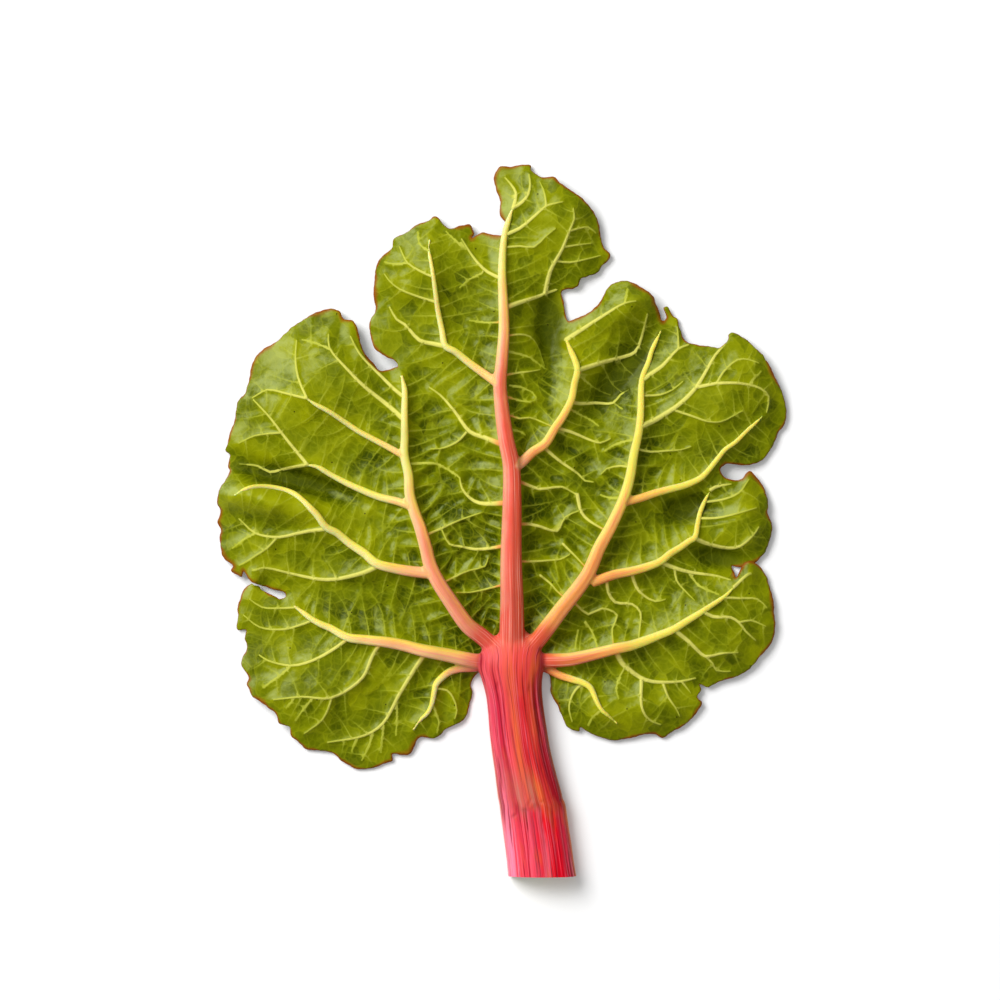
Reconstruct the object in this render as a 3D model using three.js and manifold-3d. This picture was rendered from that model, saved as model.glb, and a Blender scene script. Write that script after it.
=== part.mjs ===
// A rhubarb leaf with the upper part of its stalk, picked and lying underside up.
// Millimetres, +Z up. The drawing frame has its origin where the ribs meet the stalk and +Y towards the
// leaf's tip; the finished group is moved so that its box is centred over the origin and stands on Z = 0.

import * as THREE from "three";
import { mergeVertices } from "three/addons/utils/BufferGeometryUtils.js";
import Module from "manifold-3d";

const wasm = await Module();
wasm.setup();

// ---------------------------------------------------------------- driving dimensions

const BLADE_THICKNESS = 1.1; // measured straight up, so a steep fold is still 0.6 thick
const RIB_GAP = 0.35; // between the ribs' undersides and the blade
const RIB_HEIGHT_RATIO = 0.6; // a rib stands this share of its width above the blade
const STALK_CUT_Y = -110.2;

const MARGIN_STEP = 7; // longest edge along the margin
const VEIN_STEP = 8; // between points along a vein
const FLANK_OFFSET = 3.6; // points beside a vein, where its ridge has run out into the blade
const FLANKED_WIDTH = 1.2; // a narrower vein has no points beside it
const LATTICE_STEP = 8;
const POINT_GAP = 3; // closest that two points of the blade's net may be

const DOME_CENTRE = [-5, 85];
const DOME_RADIUS = 110;
const DOME_HEIGHT = 11;
const MARGIN_CURL = 2.2; // how far the margin turns down
const MARGIN_CURL_WIDTH = 5;

// ---------------------------------------------------------------- the blade's margin, lobe by lobe

const MARGIN = [
  // left basal lobe
  [-17.5, -9.5], [-20.5, -14.5], [-20, -18.5], [-20.5, -22.5], [-22, -28], [-24.5, -32.5], [-27.5, -34.5],
  [-33, -37], [-36, -40], [-39.5, -41.5], [-44, -41], [-46.5, -41.5], [-48.5, -45], [-50.5, -49], [-54.5, -50],
  [-60, -49.5], [-59.5, -52.5], [-63, -54], [-68.5, -56], [-77, -57], [-83.5, -54], [-86.5, -51.5],
  [-89.5, -49], [-97, -47.5], [-103, -47], [-105.5, -44.5], [-110.5, -40], [-111, -36], [-116, -34],
  [-118, -29], [-122, -26], [-126.5, -22.5], [-130, -20.5], [-131, -17.5], [-132.5, -14.5], [-131.5, -11],
  [-134, -7], [-135.5, -3.5], [-132.5, 3], [-132.5, 5.5], [-133.5, 8], [-133, 12.5], [-137, 12.5],
  [-137.5, 15.5], [-137, 19.5], [-137, 23.5], [-136, 27.5], [-134, 33], [-128.5, 35.8], [-125, 33],
  [-122, 31], [-118, 29], [-116, 28], [-113, 29.3],
  // lower left lobe
  [-113.5, 31.2], [-118.5, 32.5], [-122, 34], [-125, 36.2], [-127, 38.5], [-130, 40.5], [-134, 43.5],
  [-135, 41], [-138, 41], [-140.5, 42.5], [-139.5, 44.5], [-143.5, 48], [-145.5, 53.5], [-146, 59.5],
  [-145.5, 62.5], [-147, 66], [-145.5, 72.5], [-147, 75.5], [-146, 82.5], [-143.5, 86.5], [-141, 92.5],
  [-142, 94], [-141, 100], [-143, 102],
  // upper left lobe
  [-142, 106], [-141, 110.5], [-138.5, 117.5], [-137, 126.5], [-133.5, 130.5], [-131.5, 136.5],
  [-130.5, 143], [-128, 149], [-124, 153], [-117, 157], [-113, 161], [-109.5, 164], [-106, 166.5],
  [-98, 171], [-92, 173], [-86.5, 172], [-84, 168], [-79.5, 167], [-77, 162.5], [-75.5, 156], [-73, 150],
  [-68.5, 145], [-66, 142], [-60, 143], [-57, 144],
  // upper middle left lobe
  [-58.5, 147], [-63, 149], [-68, 152.5], [-70.5, 159], [-71, 166.5], [-68, 172], [-69, 178.5], [-69, 183.5],
  [-68, 192], [-66, 198], [-60, 203], [-59, 207.5], [-52, 211.5], [-47.5, 215], [-41.5, 217], [-39.5, 219],
  [-37.5, 219], [-34.5, 215.5], [-31.5, 213], [-24, 215], [-21, 215], [-19, 210.5], [-20, 208.5],
  [-15, 211], [-10, 210], [-4.5, 210],
  // tip lobe
  [-3, 215], [-6, 219.5], [-6, 226.5], [-8, 233], [-9, 239], [-6, 244], [-1, 244], [4.5, 245], [9.5, 244.5],
  [9.5, 242.5], [15.5, 238.5], [20.5, 239], [25, 235], [30, 231.5], [34, 229], [38.5, 224], [42, 219.5],
  [44, 211], [46, 203.5], [49, 200.5], [48, 197], [45, 194.5], [42.5, 191], [37.5, 189], [34.5, 188],
  [33, 184.5], [30.5, 183], [25, 182], [26, 175.5], [28, 167],
  // upper middle right lobe
  [31.5, 168], [36.5, 170], [42, 174], [45, 178.5], [47, 182], [49.5, 185], [53, 186.5], [56.5, 187],
  [64, 184], [69.5, 180], [72.5, 174], [75.5, 167],
  // upper right lobe
  [77.2, 168.5], [75.5, 173.5], [77.5, 174], [80.5, 169.5], [82.5, 168], [84, 162.5], [86.5, 157],
  [92.5, 155], [100.5, 154], [103.5, 153.5], [108, 158], [108, 160], [110.5, 161], [117, 157.5], [123, 152],
  [126.5, 148], [131, 139.5], [134.5, 132], [137, 123], [136, 115], [133, 111], [130, 104], [125, 97.5],
  [118, 95], [112, 95], [106.5, 95.5], [104, 93],
  // right middle lobe
  [104.5, 91], [106, 89], [111, 87.5], [114.5, 88], [118.5, 92], [122.5, 88.5], [126, 83], [128, 74.5],
  [127.5, 71.5], [130, 64.5], [129, 58], [127, 53], [126, 51], [122, 46.5], [118.5, 45], [114.5, 44],
  [112.5, 44], [110, 44.5], [111, 41], [112.2, 38],
  // lower right lobe
  [114, 39.5], [116, 41.3], [119, 42.2], [122, 42.6], [125, 41.5], [127, 39], [128.5, 34.5], [130.5, 27.5],
  [131, 19.5], [131.5, 13.5], [129.5, 6], [124, -0.5], [118.5, -7], [111, -11], [104, -13], [98, -16],
  [93.5, -14.5], [94.5, -17], [92.5, -21], [95, -23.5], [92, -29], [86, -35], [80.5, -38], [75, -41.5],
  [71.5, -39.5], [66.5, -39.5], [59, -41.5], [51.5, -42.5], [44, -41], [38, -38.5], [34, -36], [33.5, -38],
  [28, -36], [24.5, -29.5], [22.5, -24.5], [19.5, -19.5], [18.5, -10],
  // under the head of the stalk
  [13, -7], [4, -6], [-5, -6], [-13, -7],
];

// ---------------------------------------------------------------- ribs and veins

/** A rib or vein that narrows evenly from one width to the other along its path. */
function vein(startWidth, endWidth, path) {
  return { startWidth, endWidth, path };
}

const RIBS = [
  // midrib
  vein(13, 2.4, [
    [0, -4], [0, 7.5], [0, 17.5], [0, 27.5], [-0.5, 47.5], [0, 77.5], [-0.5, 95], [-3, 107.5], [-5, 122.5],
    [-6, 135], [-5, 147.5], [-4, 162.5], [-4.5, 177.5], [-5, 190], [-4.5, 202.5], [-3.5, 210.5], [-1.5, 217.5],
    [0.5, 223],
  ]),
  // left upper rib
  vein(7.5, 2, [
    [-8, 3], [-14.5, 9], [-22, 15], [-29.5, 25.5], [-37.5, 38], [-41, 46], [-43.5, 53.5], [-46.5, 63.5],
    [-50, 72.5], [-52, 80.5], [-52.5, 89.5], [-54.5, 100], [-54, 108.5], [-53.5, 121], [-53.5, 132.5],
    [-55, 139.5],
  ]),
  // left lower rib
  vein(6.8, 1.8, [
    [-10, -2.5], [-17, -2.5], [-23.5, -1], [-31, 0.5], [-38.5, 1.5], [-46, 3], [-53.5, 5], [-61, 6.5],
    [-73.5, 8.5], [-81, 9.5], [-85, 11.5], [-90, 14.5], [-95, 16.5], [-99.5, 19], [-104.5, 22.5], [-109, 24.8],
  ]),
  // right upper rib
  vein(7.2, 1.8, [
    [8, 2], [15.5, 10], [25.5, 23], [33.5, 33], [38.5, 40.5], [44.5, 53.5], [50, 63.5], [56, 76.5],
    [59.5, 88], [61.5, 99.5], [64, 111], [64.5, 121], [64.5, 135], [65.5, 140], [68, 146], [70, 152.5],
    [73, 159], [74.5, 162.5],
  ]),
  // right lower rib
  vein(6.2, 1.6, [
    [10, -2.5], [21.5, -2.5], [29, -2], [34, -1], [44, 1.5], [51.5, 3.5], [59, 5], [66.5, 7.5], [74, 10.5],
    [80, 13], [86.5, 17], [93, 21], [96, 23], [101.5, 26.5], [106.5, 30], [110.5, 34],
  ]),
  // lower left branch of the left upper rib
  vein(4.2, 1.3, [
    [-40, 41], [-50, 42], [-58.5, 43.5], [-67.5, 46], [-73.5, 51], [-81, 56], [-87, 61], [-92.5, 64],
    [-97, 70], [-103.5, 76.5], [-108.5, 80.5], [-113.5, 82.5], [-121, 84], [-128.5, 84], [-133.5, 82.5],
    [-138.5, 79.5],
  ]),
  // middle branch of the left upper rib
  vein(2.6, 1.3, [
    [-51, 74.5], [-56, 76.5], [-66, 79], [-76, 83], [-83.5, 86.5], [-91, 90.5], [-97, 94], [-102, 95],
  ]),
  // upper branch of the left upper rib
  vein(2.4, 1.2, [
    [-54, 99.5], [-61, 103.5], [-68.5, 107.5], [-76, 111.5], [-83.5, 116.5], [-91, 121.5], [-98.5, 125.5],
    [-102, 128],
  ]),
  // middle branch of the right upper rib
  vein(3.6, 1.3, [
    [39.5, 36.5], [51.5, 40.5], [59, 42], [66.5, 44], [74, 47], [79, 51], [84, 54], [89, 57.5], [91, 58.5],
    [92.5, 65], [94, 71.5], [96.5, 77.5], [99, 82.5],
  ]),
  // upper branch of the right upper rib
  vein(3.6, 1.2, [
    [55.5, 76.5], [64, 78.5], [71.5, 81], [79, 83], [86.5, 85], [94, 88.5], [98, 92.5], [102, 97.5],
    [106, 102.5], [111.5, 106.5], [116.5, 111.5], [121.5, 116], [125, 119.5],
  ]),
  // right branch of the midrib
  vein(4.2, 1.6, [
    [0, 93], [4.5, 96], [10.5, 101.5], [16.5, 105.5], [21.5, 113.5], [25, 118.5], [29.5, 127.5], [31, 135],
    [32.5, 142], [31.5, 146.5], [29, 152.5], [27, 157.5],
  ]),
  // left branch of the midrib
  vein(3.4, 1.2, [
    [-6, 134.5], [-13.5, 140], [-21, 145.5], [-28.5, 151.5], [-33, 154], [-35, 162.5], [-37, 172.5],
    [-38, 180], [-39, 187.5], [-40.5, 196.5], [-41.5, 202.5], [-41, 207.5],
  ]),
  // basal rib on the left
  vein(3.6, 1.2, [
    [-13, -5], [-19, -6], [-26, -6.5], [-31, -8], [-35, -11], [-38, -14.5], [-39, -19], [-40, -24],
    [-42, -28.5], [-46, -32.5], [-49.5, -37.5],
  ]),
  // basal rib on the right
  vein(3.4, 1.2, [
    [13, -5], [18, -7], [24, -10], [30, -12], [35, -13.5], [39, -16], [41, -20], [42.5, -23.5],
    [45, -27.5], [48, -30], [52.5, -34],
  ]),
];

const VEINS = [
  // tip of the midrib and the tip lobe
  vein(1.4, 0.8, [[0.5, 223], [2, 230.5], [-0.5, 235], [-3.5, 238.5]]),
  vein(1.4, 0.8, [[0.5, 223], [5, 226], [8, 230], [9, 235], [8.5, 240]]),
  vein(1.5, 0.8, [[-2.5, 210], [4, 213], [9, 217], [14, 221.5], [17, 224], [25, 226]]),
  vein(1, 0.6, [[17, 224], [16.5, 228.5], [15.5, 232.5], [14, 236]]),
  vein(1, 0.7, [[-3, 203.5], [4, 204], [11, 203.5], [16.5, 208.5], [21.5, 212.5]]),
  vein(2, 1, [[-4, 173], [4, 176], [11.5, 178.5], [16.5, 180.5], [22, 182.5]]),
  vein(1.7, 0.8, [[16.5, 180.5], [19, 191.5], [25, 202.5], [29, 212.5], [31, 217.5], [30.5, 222.5]]),
  vein(1, 0.7, [[29, 211.5], [34, 213], [38, 213.5], [41.5, 211]]),
  vein(1, 0.7, [[26, 203.5], [31.5, 204.5], [39, 205.5]]),
  vein(1, 0.7, [[22.5, 196.5], [29, 196], [36.5, 197.5], [44, 199.5]]),
  // left of the midrib
  vein(1.8, 0.9, [[-33, 154], [-40, 155.5], [-46, 157], [-53.5, 165], [-57.5, 167.5], [-61, 173.5]]),
  vein(1.2, 0.7, [[-38, 176], [-46, 178.5], [-56, 182.5], [-61, 186.5], [-63.5, 190]]),
  vein(1.2, 0.7, [[-39.5, 188.5], [-46, 191.5], [-52, 195.5], [-54.5, 200], [-56, 203.5]]),
  vein(0.9, 0.6, [[-52, 195.5], [-58.5, 195], [-63.5, 196]]),
  vein(0.9, 0.6, [[-41.5, 201.5], [-46, 205], [-47, 211]]),
  vein(1.4, 0.8, [[-5, 187.5], [-12, 191], [-16, 194.5], [-20, 199.5], [-25, 207.5]]),
  vein(0.9, 0.6, [[-25, 204], [-30, 208.5], [-33, 211.5]]),
  vein(0.9, 0.6, [[-15, 190.5], [-21, 187.5], [-26, 183.5]]),
  vein(0.9, 0.6, [[-5, 166], [-13.5, 166], [-21, 167]]),
  vein(2, 0.8, [[-5, 105], [-13.5, 108.5], [-21, 111.5], [-28.5, 121.5], [-36, 130], [-41, 133.5]]),
  vein(1.1, 0.7, [[-23, 111], [-26, 107.5], [-30, 105], [-36, 103], [-40, 103]]),
  vein(2, 0.8, [[-3, 76], [-16, 76], [-21, 78.5], [-25, 83.5], [-26, 88.5]]),
  vein(0.9, 0.8, [[-52, 95.5], [-37.5, 95.5], [-33.5, 93.5], [-28.5, 90.5], [-26, 88.5]]),
  vein(1.4, 0.7, [[-4, 54.8], [-11, 53.5], [-18.5, 53], [-26, 54.5], [-31, 55.5], [-35.5, 64]]),
  vein(1.2, 0.7, [[-43, 60], [-36, 63], [-26, 67.5], [-16, 71]]),
  vein(1, 0.7, [[-4, 35.5], [-13.5, 33], [-21, 31.5], [-27, 31.5]]),
  vein(1, 0.7, [[-34, 36.5], [-26, 40.5], [-21, 42.5], [-13.5, 44.5], [-12, 48.5]]),
  // right of the midrib
  vein(1, 0.6, [[-4, 159], [4, 160], [9, 159], [12.5, 155], [16, 145]]),
  vein(1.2, 0.7, [[-4, 139.5], [4, 141], [9, 141.5], [14, 142.5]]),
  vein(0.9, 0.6, [[-3, 129], [4, 127], [9, 126.5], [12, 127.5]]),
  vein(1, 0.7, [[-2, 120], [4, 118], [9, 118.5], [19, 114.5]]),
  vein(1.4, 0.8, [[15, 104.5], [20.5, 99.5], [25, 96], [33, 90.5], [36.5, 87], [40, 86.5]]),
  vein(1.4, 0.8, [[21.5, 113.5], [29, 111.5], [40, 107], [44, 106], [49, 108]]),
  vein(1.5, 0.8, [[28, 126.5], [34, 125.5], [41.5, 126], [50.5, 126], [54, 130], [58, 132.5]]),
  vein(0.9, 0.6, [[28, 123.5], [34, 120], [39, 117.5], [43, 114.5]]),
  vein(1.9, 0.9, [[32.5, 142], [46.5, 146.5], [54, 148.5], [61.5, 151.5], [64, 156.5], [67.5, 170]]),
  vein(1.7, 0.8, [[27, 157.5], [34, 162], [46.5, 170], [56, 175.5], [61.5, 176.5]]),
  vein(0.9, 0.6, [[56, 175.5], [57.5, 182.5]]),
  vein(0.9, 0.6, [[33, 140], [39, 135], [44, 132], [49, 130]]),
  vein(0.9, 0.6, [[44.5, 146], [47, 141], [50, 135.5], [54, 132]]),
  vein(1.3, 0.8, [[3, 87], [9, 84.5], [14, 83], [25, 84], [29, 82], [32.5, 80]]),
  vein(1.5, 0.9, [[32.5, 80], [34.5, 71.5], [38, 67.5], [47, 62]]),
  vein(1.3, 0.7, [[2, 65.5], [9, 65.5], [15, 64], [22.5, 62], [26.5, 69], [33, 72]]),
  vein(1.2, 0.7, [[3, 47], [11.5, 47], [19, 47.5], [24, 48], [28, 50]]),
  vein(1.1, 0.7, [[25.5, 55.5], [29, 52], [32.5, 48.5], [37, 43.5]]),
  vein(1.1, 0.7, [[14, 40], [19, 36], [22, 32.5], [27, 28]]),
  vein(1.2, 0.7, [[60, 93.5], [54, 94.5], [47, 93], [44.5, 90.5]]),
  vein(0.9, 0.7, [[63, 108.5], [54, 106], [50, 104.5], [46.5, 102]]),
  // upper right lobe
  vein(2.2, 1, [[64, 114], [71.5, 117.5], [78, 121.5], [83, 125], [91.5, 133.5], [101.5, 150], [106, 155]]),
  vein(1.3, 0.8, [[91.5, 133.5], [101.5, 135.5], [114, 135.5], [124, 133], [128, 129], [127, 121.5]]),
  vein(1, 0.7, [[102, 136], [105, 141], [112.5, 147.5], [118, 147.5], [122.5, 146]]),
  vein(0.9, 0.6, [[118.5, 135.5], [121, 138.5], [124, 141.5]]),
  vein(1.8, 0.9, [[64.5, 137], [70, 141], [75, 144.5], [83, 153], [88, 155]]),
  vein(1, 0.7, [[83, 153.5], [83, 158.5], [82.5, 164]]),
  vein(1.1, 0.7, [[64.5, 129.5], [74, 130], [80, 132.5], [85, 136.5]]),
  vein(1.2, 0.7, [[62, 103], [69, 101.5], [76.5, 102], [84, 102.5], [89, 104]]),
  vein(1.1, 0.7, [[81.5, 122], [89, 119.5], [98, 116.5], [104, 116.5], [114, 121.5]]),
  // right middle lobe
  vein(1.5, 0.8, [[99, 82.5], [101.5, 84], [109, 85.5]]),
  vein(1.6, 0.8, [[91, 58.5], [96.5, 56], [108, 53.5], [114, 54.5], [121.5, 61.5], [123, 64]]),
  vein(1.2, 0.7, [[93.5, 68.5], [101.5, 68.5], [109, 70], [121.5, 73.5]]),
  vein(1.1, 0.7, [[96.5, 76.5], [104, 77.5], [113, 81], [118, 87.5]]),
  vein(1.6, 0.8, [[74, 46.5], [81.5, 43.5], [89, 41.5], [103, 39.5], [109, 37.5]]),
  // lower right lobe
  vein(2.2, 0.9, [[51, 3.5], [55, -4], [59, -7.5], [64, -11], [70, -13], [84, -13], [91, -11.5]]),
  vein(1.4, 0.8, [[64.5, -12], [64.5, -25], [66.5, -30], [70, -33], [74, -34.5]]),
  vein(1.2, 0.7, [[75.5, -14.5], [78, -21], [81.5, -26], [83.5, -30]]),
  vein(1, 0.6, [[85, -13.5], [89, -18.5]]),
  vein(1.6, 0.8, [[80.5, 13], [88, 7], [92.5, 2.5], [96.5, -0.5], [104, 1], [112.5, 1.5]]),
  vein(1, 0.7, [[96.5, -0.5], [100, -4], [102, -7.5], [109, -8]]),
  vein(1.4, 0.8, [[95, 22], [100, 19.5], [109, 19], [113, 16.5], [116.5, 12], [121.5, 7.5]]),
  vein(1, 0.7, [[113, 16.5], [119, 17.5], [126.5, 14.5]]),
  vein(1.2, 0.7, [[105.5, 29], [114, 28.5], [122.5, 28], [127, 24]]),
  vein(1.3, 0.8, [[110.5, 34], [114, 36], [120, 37.5]]),
  vein(1.2, 0.7, [[35, -14], [31.5, -17.5], [29, -22.5], [28.5, -27.5], [30, -33]]),
  vein(0.9, 0.6, [[44, -27.5], [40, -31], [38, -35]]),
  vein(1.3, 0.7, [[47, 38], [48, 31.5], [51.5, 26.5], [60, 25.5], [64, 21.5], [63.5, 12.5], [63, 7]]),
  vein(1.4, 0.7, [[59.5, 41], [62, 34], [65.5, 30], [71.5, 27], [76.5, 28]]),
  vein(1.1, 0.6, [[81, 43], [82, 37.5], [85.5, 33], [91, 27.5]]),
  vein(1.2, 0.7, [[30.5, 27], [35, 22.5], [38, 20.5], [45, 23.5], [52.5, 20], [50, 13.5], [50.5, 5]]),
  vein(0.9, 0.6, [[56.5, -5.5], [54, -10], [52, -16.5], [53, -21.5]]),
  // upper left lobe
  vein(1.3, 0.8, [[-102, 95], [-106, 100], [-111, 106], [-116, 112.5], [-121, 119], [-129, 127.5]]),
  vein(1.3, 0.8, [[-102, 95], [-108.5, 94], [-116, 92.5], [-121, 91.5], [-127, 94.5], [-136, 95.5]]),
  vein(1, 0.7, [[-114.5, 111], [-122, 110.5], [-128.5, 109.5], [-136, 106]]),
  vein(1.2, 0.8, [[-102, 128], [-108.5, 129.5], [-116, 131.5], [-122, 132.5], [-129.5, 128.5]]),
  vein(1.2, 0.8, [[-102, 128], [-106.5, 138.5], [-108, 148.5], [-107.5, 157]]),
  vein(1.8, 0.8, [[-53.5, 117], [-61, 124], [-73.5, 134], [-81, 141.5], [-91, 153.5], [-91.5, 160]]),
  vein(0.9, 0.6, [[-91, 152.5], [-96, 155], [-104.5, 157.5]]),
  vein(1.5, 0.8, [[-53.5, 128.5], [-58.5, 132.5], [-64.5, 138.5], [-76, 150.5], [-80.5, 159]]),
  // lower left lobe
  vein(1.5, 0.8, [[-92.5, 63], [-101, 62], [-108.5, 60.5], [-116, 59], [-128, 61], [-136, 68]]),
  vein(1, 0.7, [[-117, 59], [-122, 53.5], [-128.5, 49.5], [-136, 45.5]]),
  vein(0.9, 0.6, [[-128, 61], [-133.5, 58], [-139.5, 53.5]]),
  vein(1.8, 0.8, [[-66, 45], [-73.5, 41.5], [-88.5, 38], [-96, 38], [-111, 41], [-125, 44.5], [-129, 44.5]]),
  // left basal lobe
  vein(1.4, 0.8, [[-81, 9], [-88.5, 3.5], [-99.5, -2.5], [-110, -5], [-122, -2.5], [-126, 0]]),
  vein(0.9, 0.7, [[-110, -5], [-114.5, -9], [-124, -16]]),
  vein(1.5, 0.8, [[-65, 7], [-69.5, 0], [-74.5, -11], [-90, -21], [-104.5, -20.5], [-118.5, -22]]),
  vein(1, 0.7, [[-90, -21.5], [-92, -27.5], [-95, -32.5], [-103.5, -39]]),
  vein(0.9, 0.6, [[-100, -22], [-104.5, -27.5], [-108, -32.5]]),
  vein(1.7, 0.8, [[-43, 1.5], [-49, -7.5], [-56, -19], [-64.5, -34], [-73.5, -40], [-92, -43.5]]),
  vein(0.9, 0.6, [[-64, -35], [-65, -42.5], [-65.5, -48.5]]),
  vein(0.9, 0.6, [[-69.5, -39], [-72, -46.5], [-75, -52.5]]),
  vein(0.9, 0.6, [[-57.5, -24], [-57.5, -32.5], [-58, -40]]),
  vein(1.2, 0.7, [[-98, 18], [-106, 15], [-113.5, 13], [-126, 14], [-134, 20]]),
  vein(1, 0.7, [[-107, 24], [-116, 23.5], [-125, 24], [-131, 28]]),
  vein(1, 0.7, [[-38, -16.5], [-32.5, -17.5], [-29.5, -21], [-27.5, -27.5], [-28.5, -31.5]]),
  vein(0.9, 0.6, [[-39.5, -25], [-37.5, -30], [-36.5, -33.5], [-37.5, -38.5]]),
];

// ---------------------------------------------------------------- swells, folds and overlaps

/** One smooth rise, or a hollow if height is below 0, of two radii, its long axis turned by angle degrees. */
function swell(x, y, longRadius, shortRadius, angle, height) {
  return { x, y, longRadius, shortRadius, turn: THREE.MathUtils.degToRad(angle), height };
}

const SWELLS = [
  swell(0, -4, 36, 26, 0, -9), // the blade dips under the head of the stalk
  swell(19, 164, 24, 9, 90, -9), // fold between the tip lobe and the upper middle right lobe
  swell(56, 141, 28, 10, 48, -11), // fold left of the right upper rib
  swell(88, 73, 14, 9, 20, -8), // fold under the upper right lobe
  swell(104, 49, 14, 7, -10, -7), // fold under the lower right lobe
  swell(-110, 87.5, 30, 6, -14, -12), // valley above the lower left lobe
  swell(-124, 77, 28, 9, -14, 14), // rolled crest of the lower left lobe
  swell(-98, 132, 36, 22, 40, 9), // upper left lobe
  swell(-122, 54, 20, 14, 0, 5), // lower left lobe
  swell(-100, -18, 34, 20, 20, 8), // left basal lobe
  swell(-46, 192, 26, 20, 0, 9), // upper middle left lobe
  swell(22, 218, 26, 18, 60, 10), // tip lobe
  swell(58, 174, 18, 10, 30, 9), // upper middle right lobe
  swell(106, 130, 30, 20, 40, 10), // upper right lobe
  swell(116, 68, 12, 18, 0, 6), // right middle lobe
  swell(104, 14, 26, 22, 0, 8), // lower right lobe
  swell(58, -26, 30, 12, 0, 6), // its basal half
];

/** Where a lobe's margin is carried over its neighbour: only points past the line from root to mouth move. */
const OVERLAPS = [
  { centre: [119, 41], radius: 6, root: [111, 41.5], mouth: [128, 45], side: -1, shift: [-1, 5, 3.5] },
  { centre: [-130, 39.5], radius: 6, root: [-113, 30.3], mouth: [-138, 39], side: -1, shift: [0, -4, 4] },
];

// ---------------------------------------------------------------- plan geometry

const distance2 = (a, b) => Math.hypot(a[0] - b[0], a[1] - b[1]);

/** Points along a smooth curve through a path, at most step apart, with every point of the path kept. */
function alongCurve(path, step, closed = false) {
  const curve = new THREE.CatmullRomCurve3(
    path.map(([x, y]) => new THREE.Vector3(x, y, 0)),
    closed,
    "centripetal",
  );
  const spans = closed ? path.length : path.length - 1;
  const points = [];
  for (let i = 0; i < spans; i++) {
    const pieces = Math.ceil(distance2(path[i], path[(i + 1) % path.length]) / step);
    for (let k = 0; k < pieces; k++) {
      const at = curve.getPoint((i + k / pieces) / spans);
      points.push([at.x, at.y]);
    }
  }
  if (!closed) {
    points.push(path[path.length - 1]);
  }
  return points;
}

/** Distance from a point to the segment a-b, and how far along the segment its nearest point is, 0 to 1. */
function toSegment([x, y], [ax, ay], [bx, by]) {
  const dx = bx - ax;
  const dy = by - ay;
  const t = THREE.MathUtils.clamp(((x - ax) * dx + (y - ay) * dy) / (dx * dx + dy * dy), 0, 1);
  return { gap: Math.hypot(x - ax - t * dx, y - ay - t * dy), t };
}

/** Distance from a point to a closed loop. */
function toLoop(point, loop) {
  let nearest = Infinity;
  for (let i = 0; i < loop.length; i++) {
    nearest = Math.min(nearest, toSegment(point, loop[i], loop[(i + 1) % loop.length]).gap);
  }
  return nearest;
}

/** True inside a closed loop, by counting the edges that a level line crosses. */
function isInside([x, y], loop) {
  let inside = false;
  for (let i = 0, j = loop.length - 1; i < loop.length; j = i++) {
    const [xi, yi] = loop[i];
    const [xj, yj] = loop[j];
    if (yi > y !== yj > y && x < ((xj - xi) * (y - yi)) / (yj - yi) + xi) {
      inside = !inside;
    }
  }
  return inside;
}

// ---------------------------------------------------------------- the blade's height

/** A vein's path as short pieces, each with its width at both ends. */
function veinPieces({ startWidth, endWidth, path }) {
  const points = alongCurve(path, 4);
  const run = [0];
  for (let i = 1; i < points.length; i++) {
    run.push(run[i - 1] + distance2(points[i - 1], points[i]));
  }
  const width = (i) => THREE.MathUtils.lerp(startWidth, endWidth, run[i] / run[run.length - 1]);
  return points.slice(1).map((b, i) => ({ a: points[i], b, wa: width(i), wb: width(i + 1) }));
}

const RIB_PIECES = RIBS.flatMap(veinPieces);
const VEIN_PIECES = VEINS.flatMap(veinPieces);
const WIDEST_TENT = 7; // a wider rib lifts the blade no further

/** How high the blade is drawn up along the nearest vein: it falls away from the vein exponentially. */
function tent(point, pieces) {
  let height = 0;
  for (const { a, b, wa, wb } of pieces) {
    const { gap, t } = toSegment(point, a, b);
    const width = Math.min(THREE.MathUtils.lerp(wa, wb, t), WIDEST_TENT);
    const fall = 1.6 + 1.9 * width ** 0.9;
    height = Math.max(height, 1.3 * width ** 0.95 * Math.exp(-gap / fall));
  }
  return height;
}

/** Height of a swell at a point. */
function swellHeight([x, y], { x: cx, y: cy, longRadius, shortRadius, turn, height }) {
  const along = ((x - cx) * Math.cos(turn) + (y - cy) * Math.sin(turn)) / longRadius;
  const across = ((y - cy) * Math.cos(turn) - (x - cx) * Math.sin(turn)) / shortRadius;
  return height * Math.exp(-along * along - across * across);
}

/** Height of the blade's upper face above the table, before any overlap: never less than its thickness. */
function bladeHeight(point, margin) {
  const dome = DOME_HEIGHT * Math.exp(-((distance2(point, DOME_CENTRE) / DOME_RADIUS) ** 2));
  const curl = MARGIN_CURL * Math.exp(-toLoop(point, margin) / MARGIN_CURL_WIDTH);
  const swells = SWELLS.reduce((sum, each) => sum + swellHeight(point, each), 0);
  const free = dome + swells - curl + tent(point, RIB_PIECES) + tent(point, VEIN_PIECES);
  const softness = 1.5;
  return BLADE_THICKNESS + (free + Math.hypot(free, softness)) / 2;
}

/** How far a point of the blade is carried by the overlaps, [dx, dy, dz]. */
function overlapShift(point) {
  const total = [0, 0, 0];
  for (const { centre, radius, root, mouth, side, shift } of OVERLAPS) {
    const length = distance2(root, mouth);
    const [dx, dy] = [(mouth[0] - root[0]) / length, (mouth[1] - root[1]) / length];
    const past = side * (dx * (point[1] - root[1]) - dy * (point[0] - root[0]));
    const share = THREE.MathUtils.smoothstep(past, -0.5, 1) * Math.exp(-((distance2(point, centre) / radius) ** 2));
    shift.forEach((value, axis) => {
      total[axis] += share * value;
    });
  }
  return total;
}

// ---------------------------------------------------------------- the blade's net of triangles

/** True if the point is further than gap from every point kept so far. */
function isClear(point, kept, gap) {
  return kept.every((other) => Math.abs(other[0] - point[0]) > gap || distance2(other, point) > gap);
}

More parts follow.
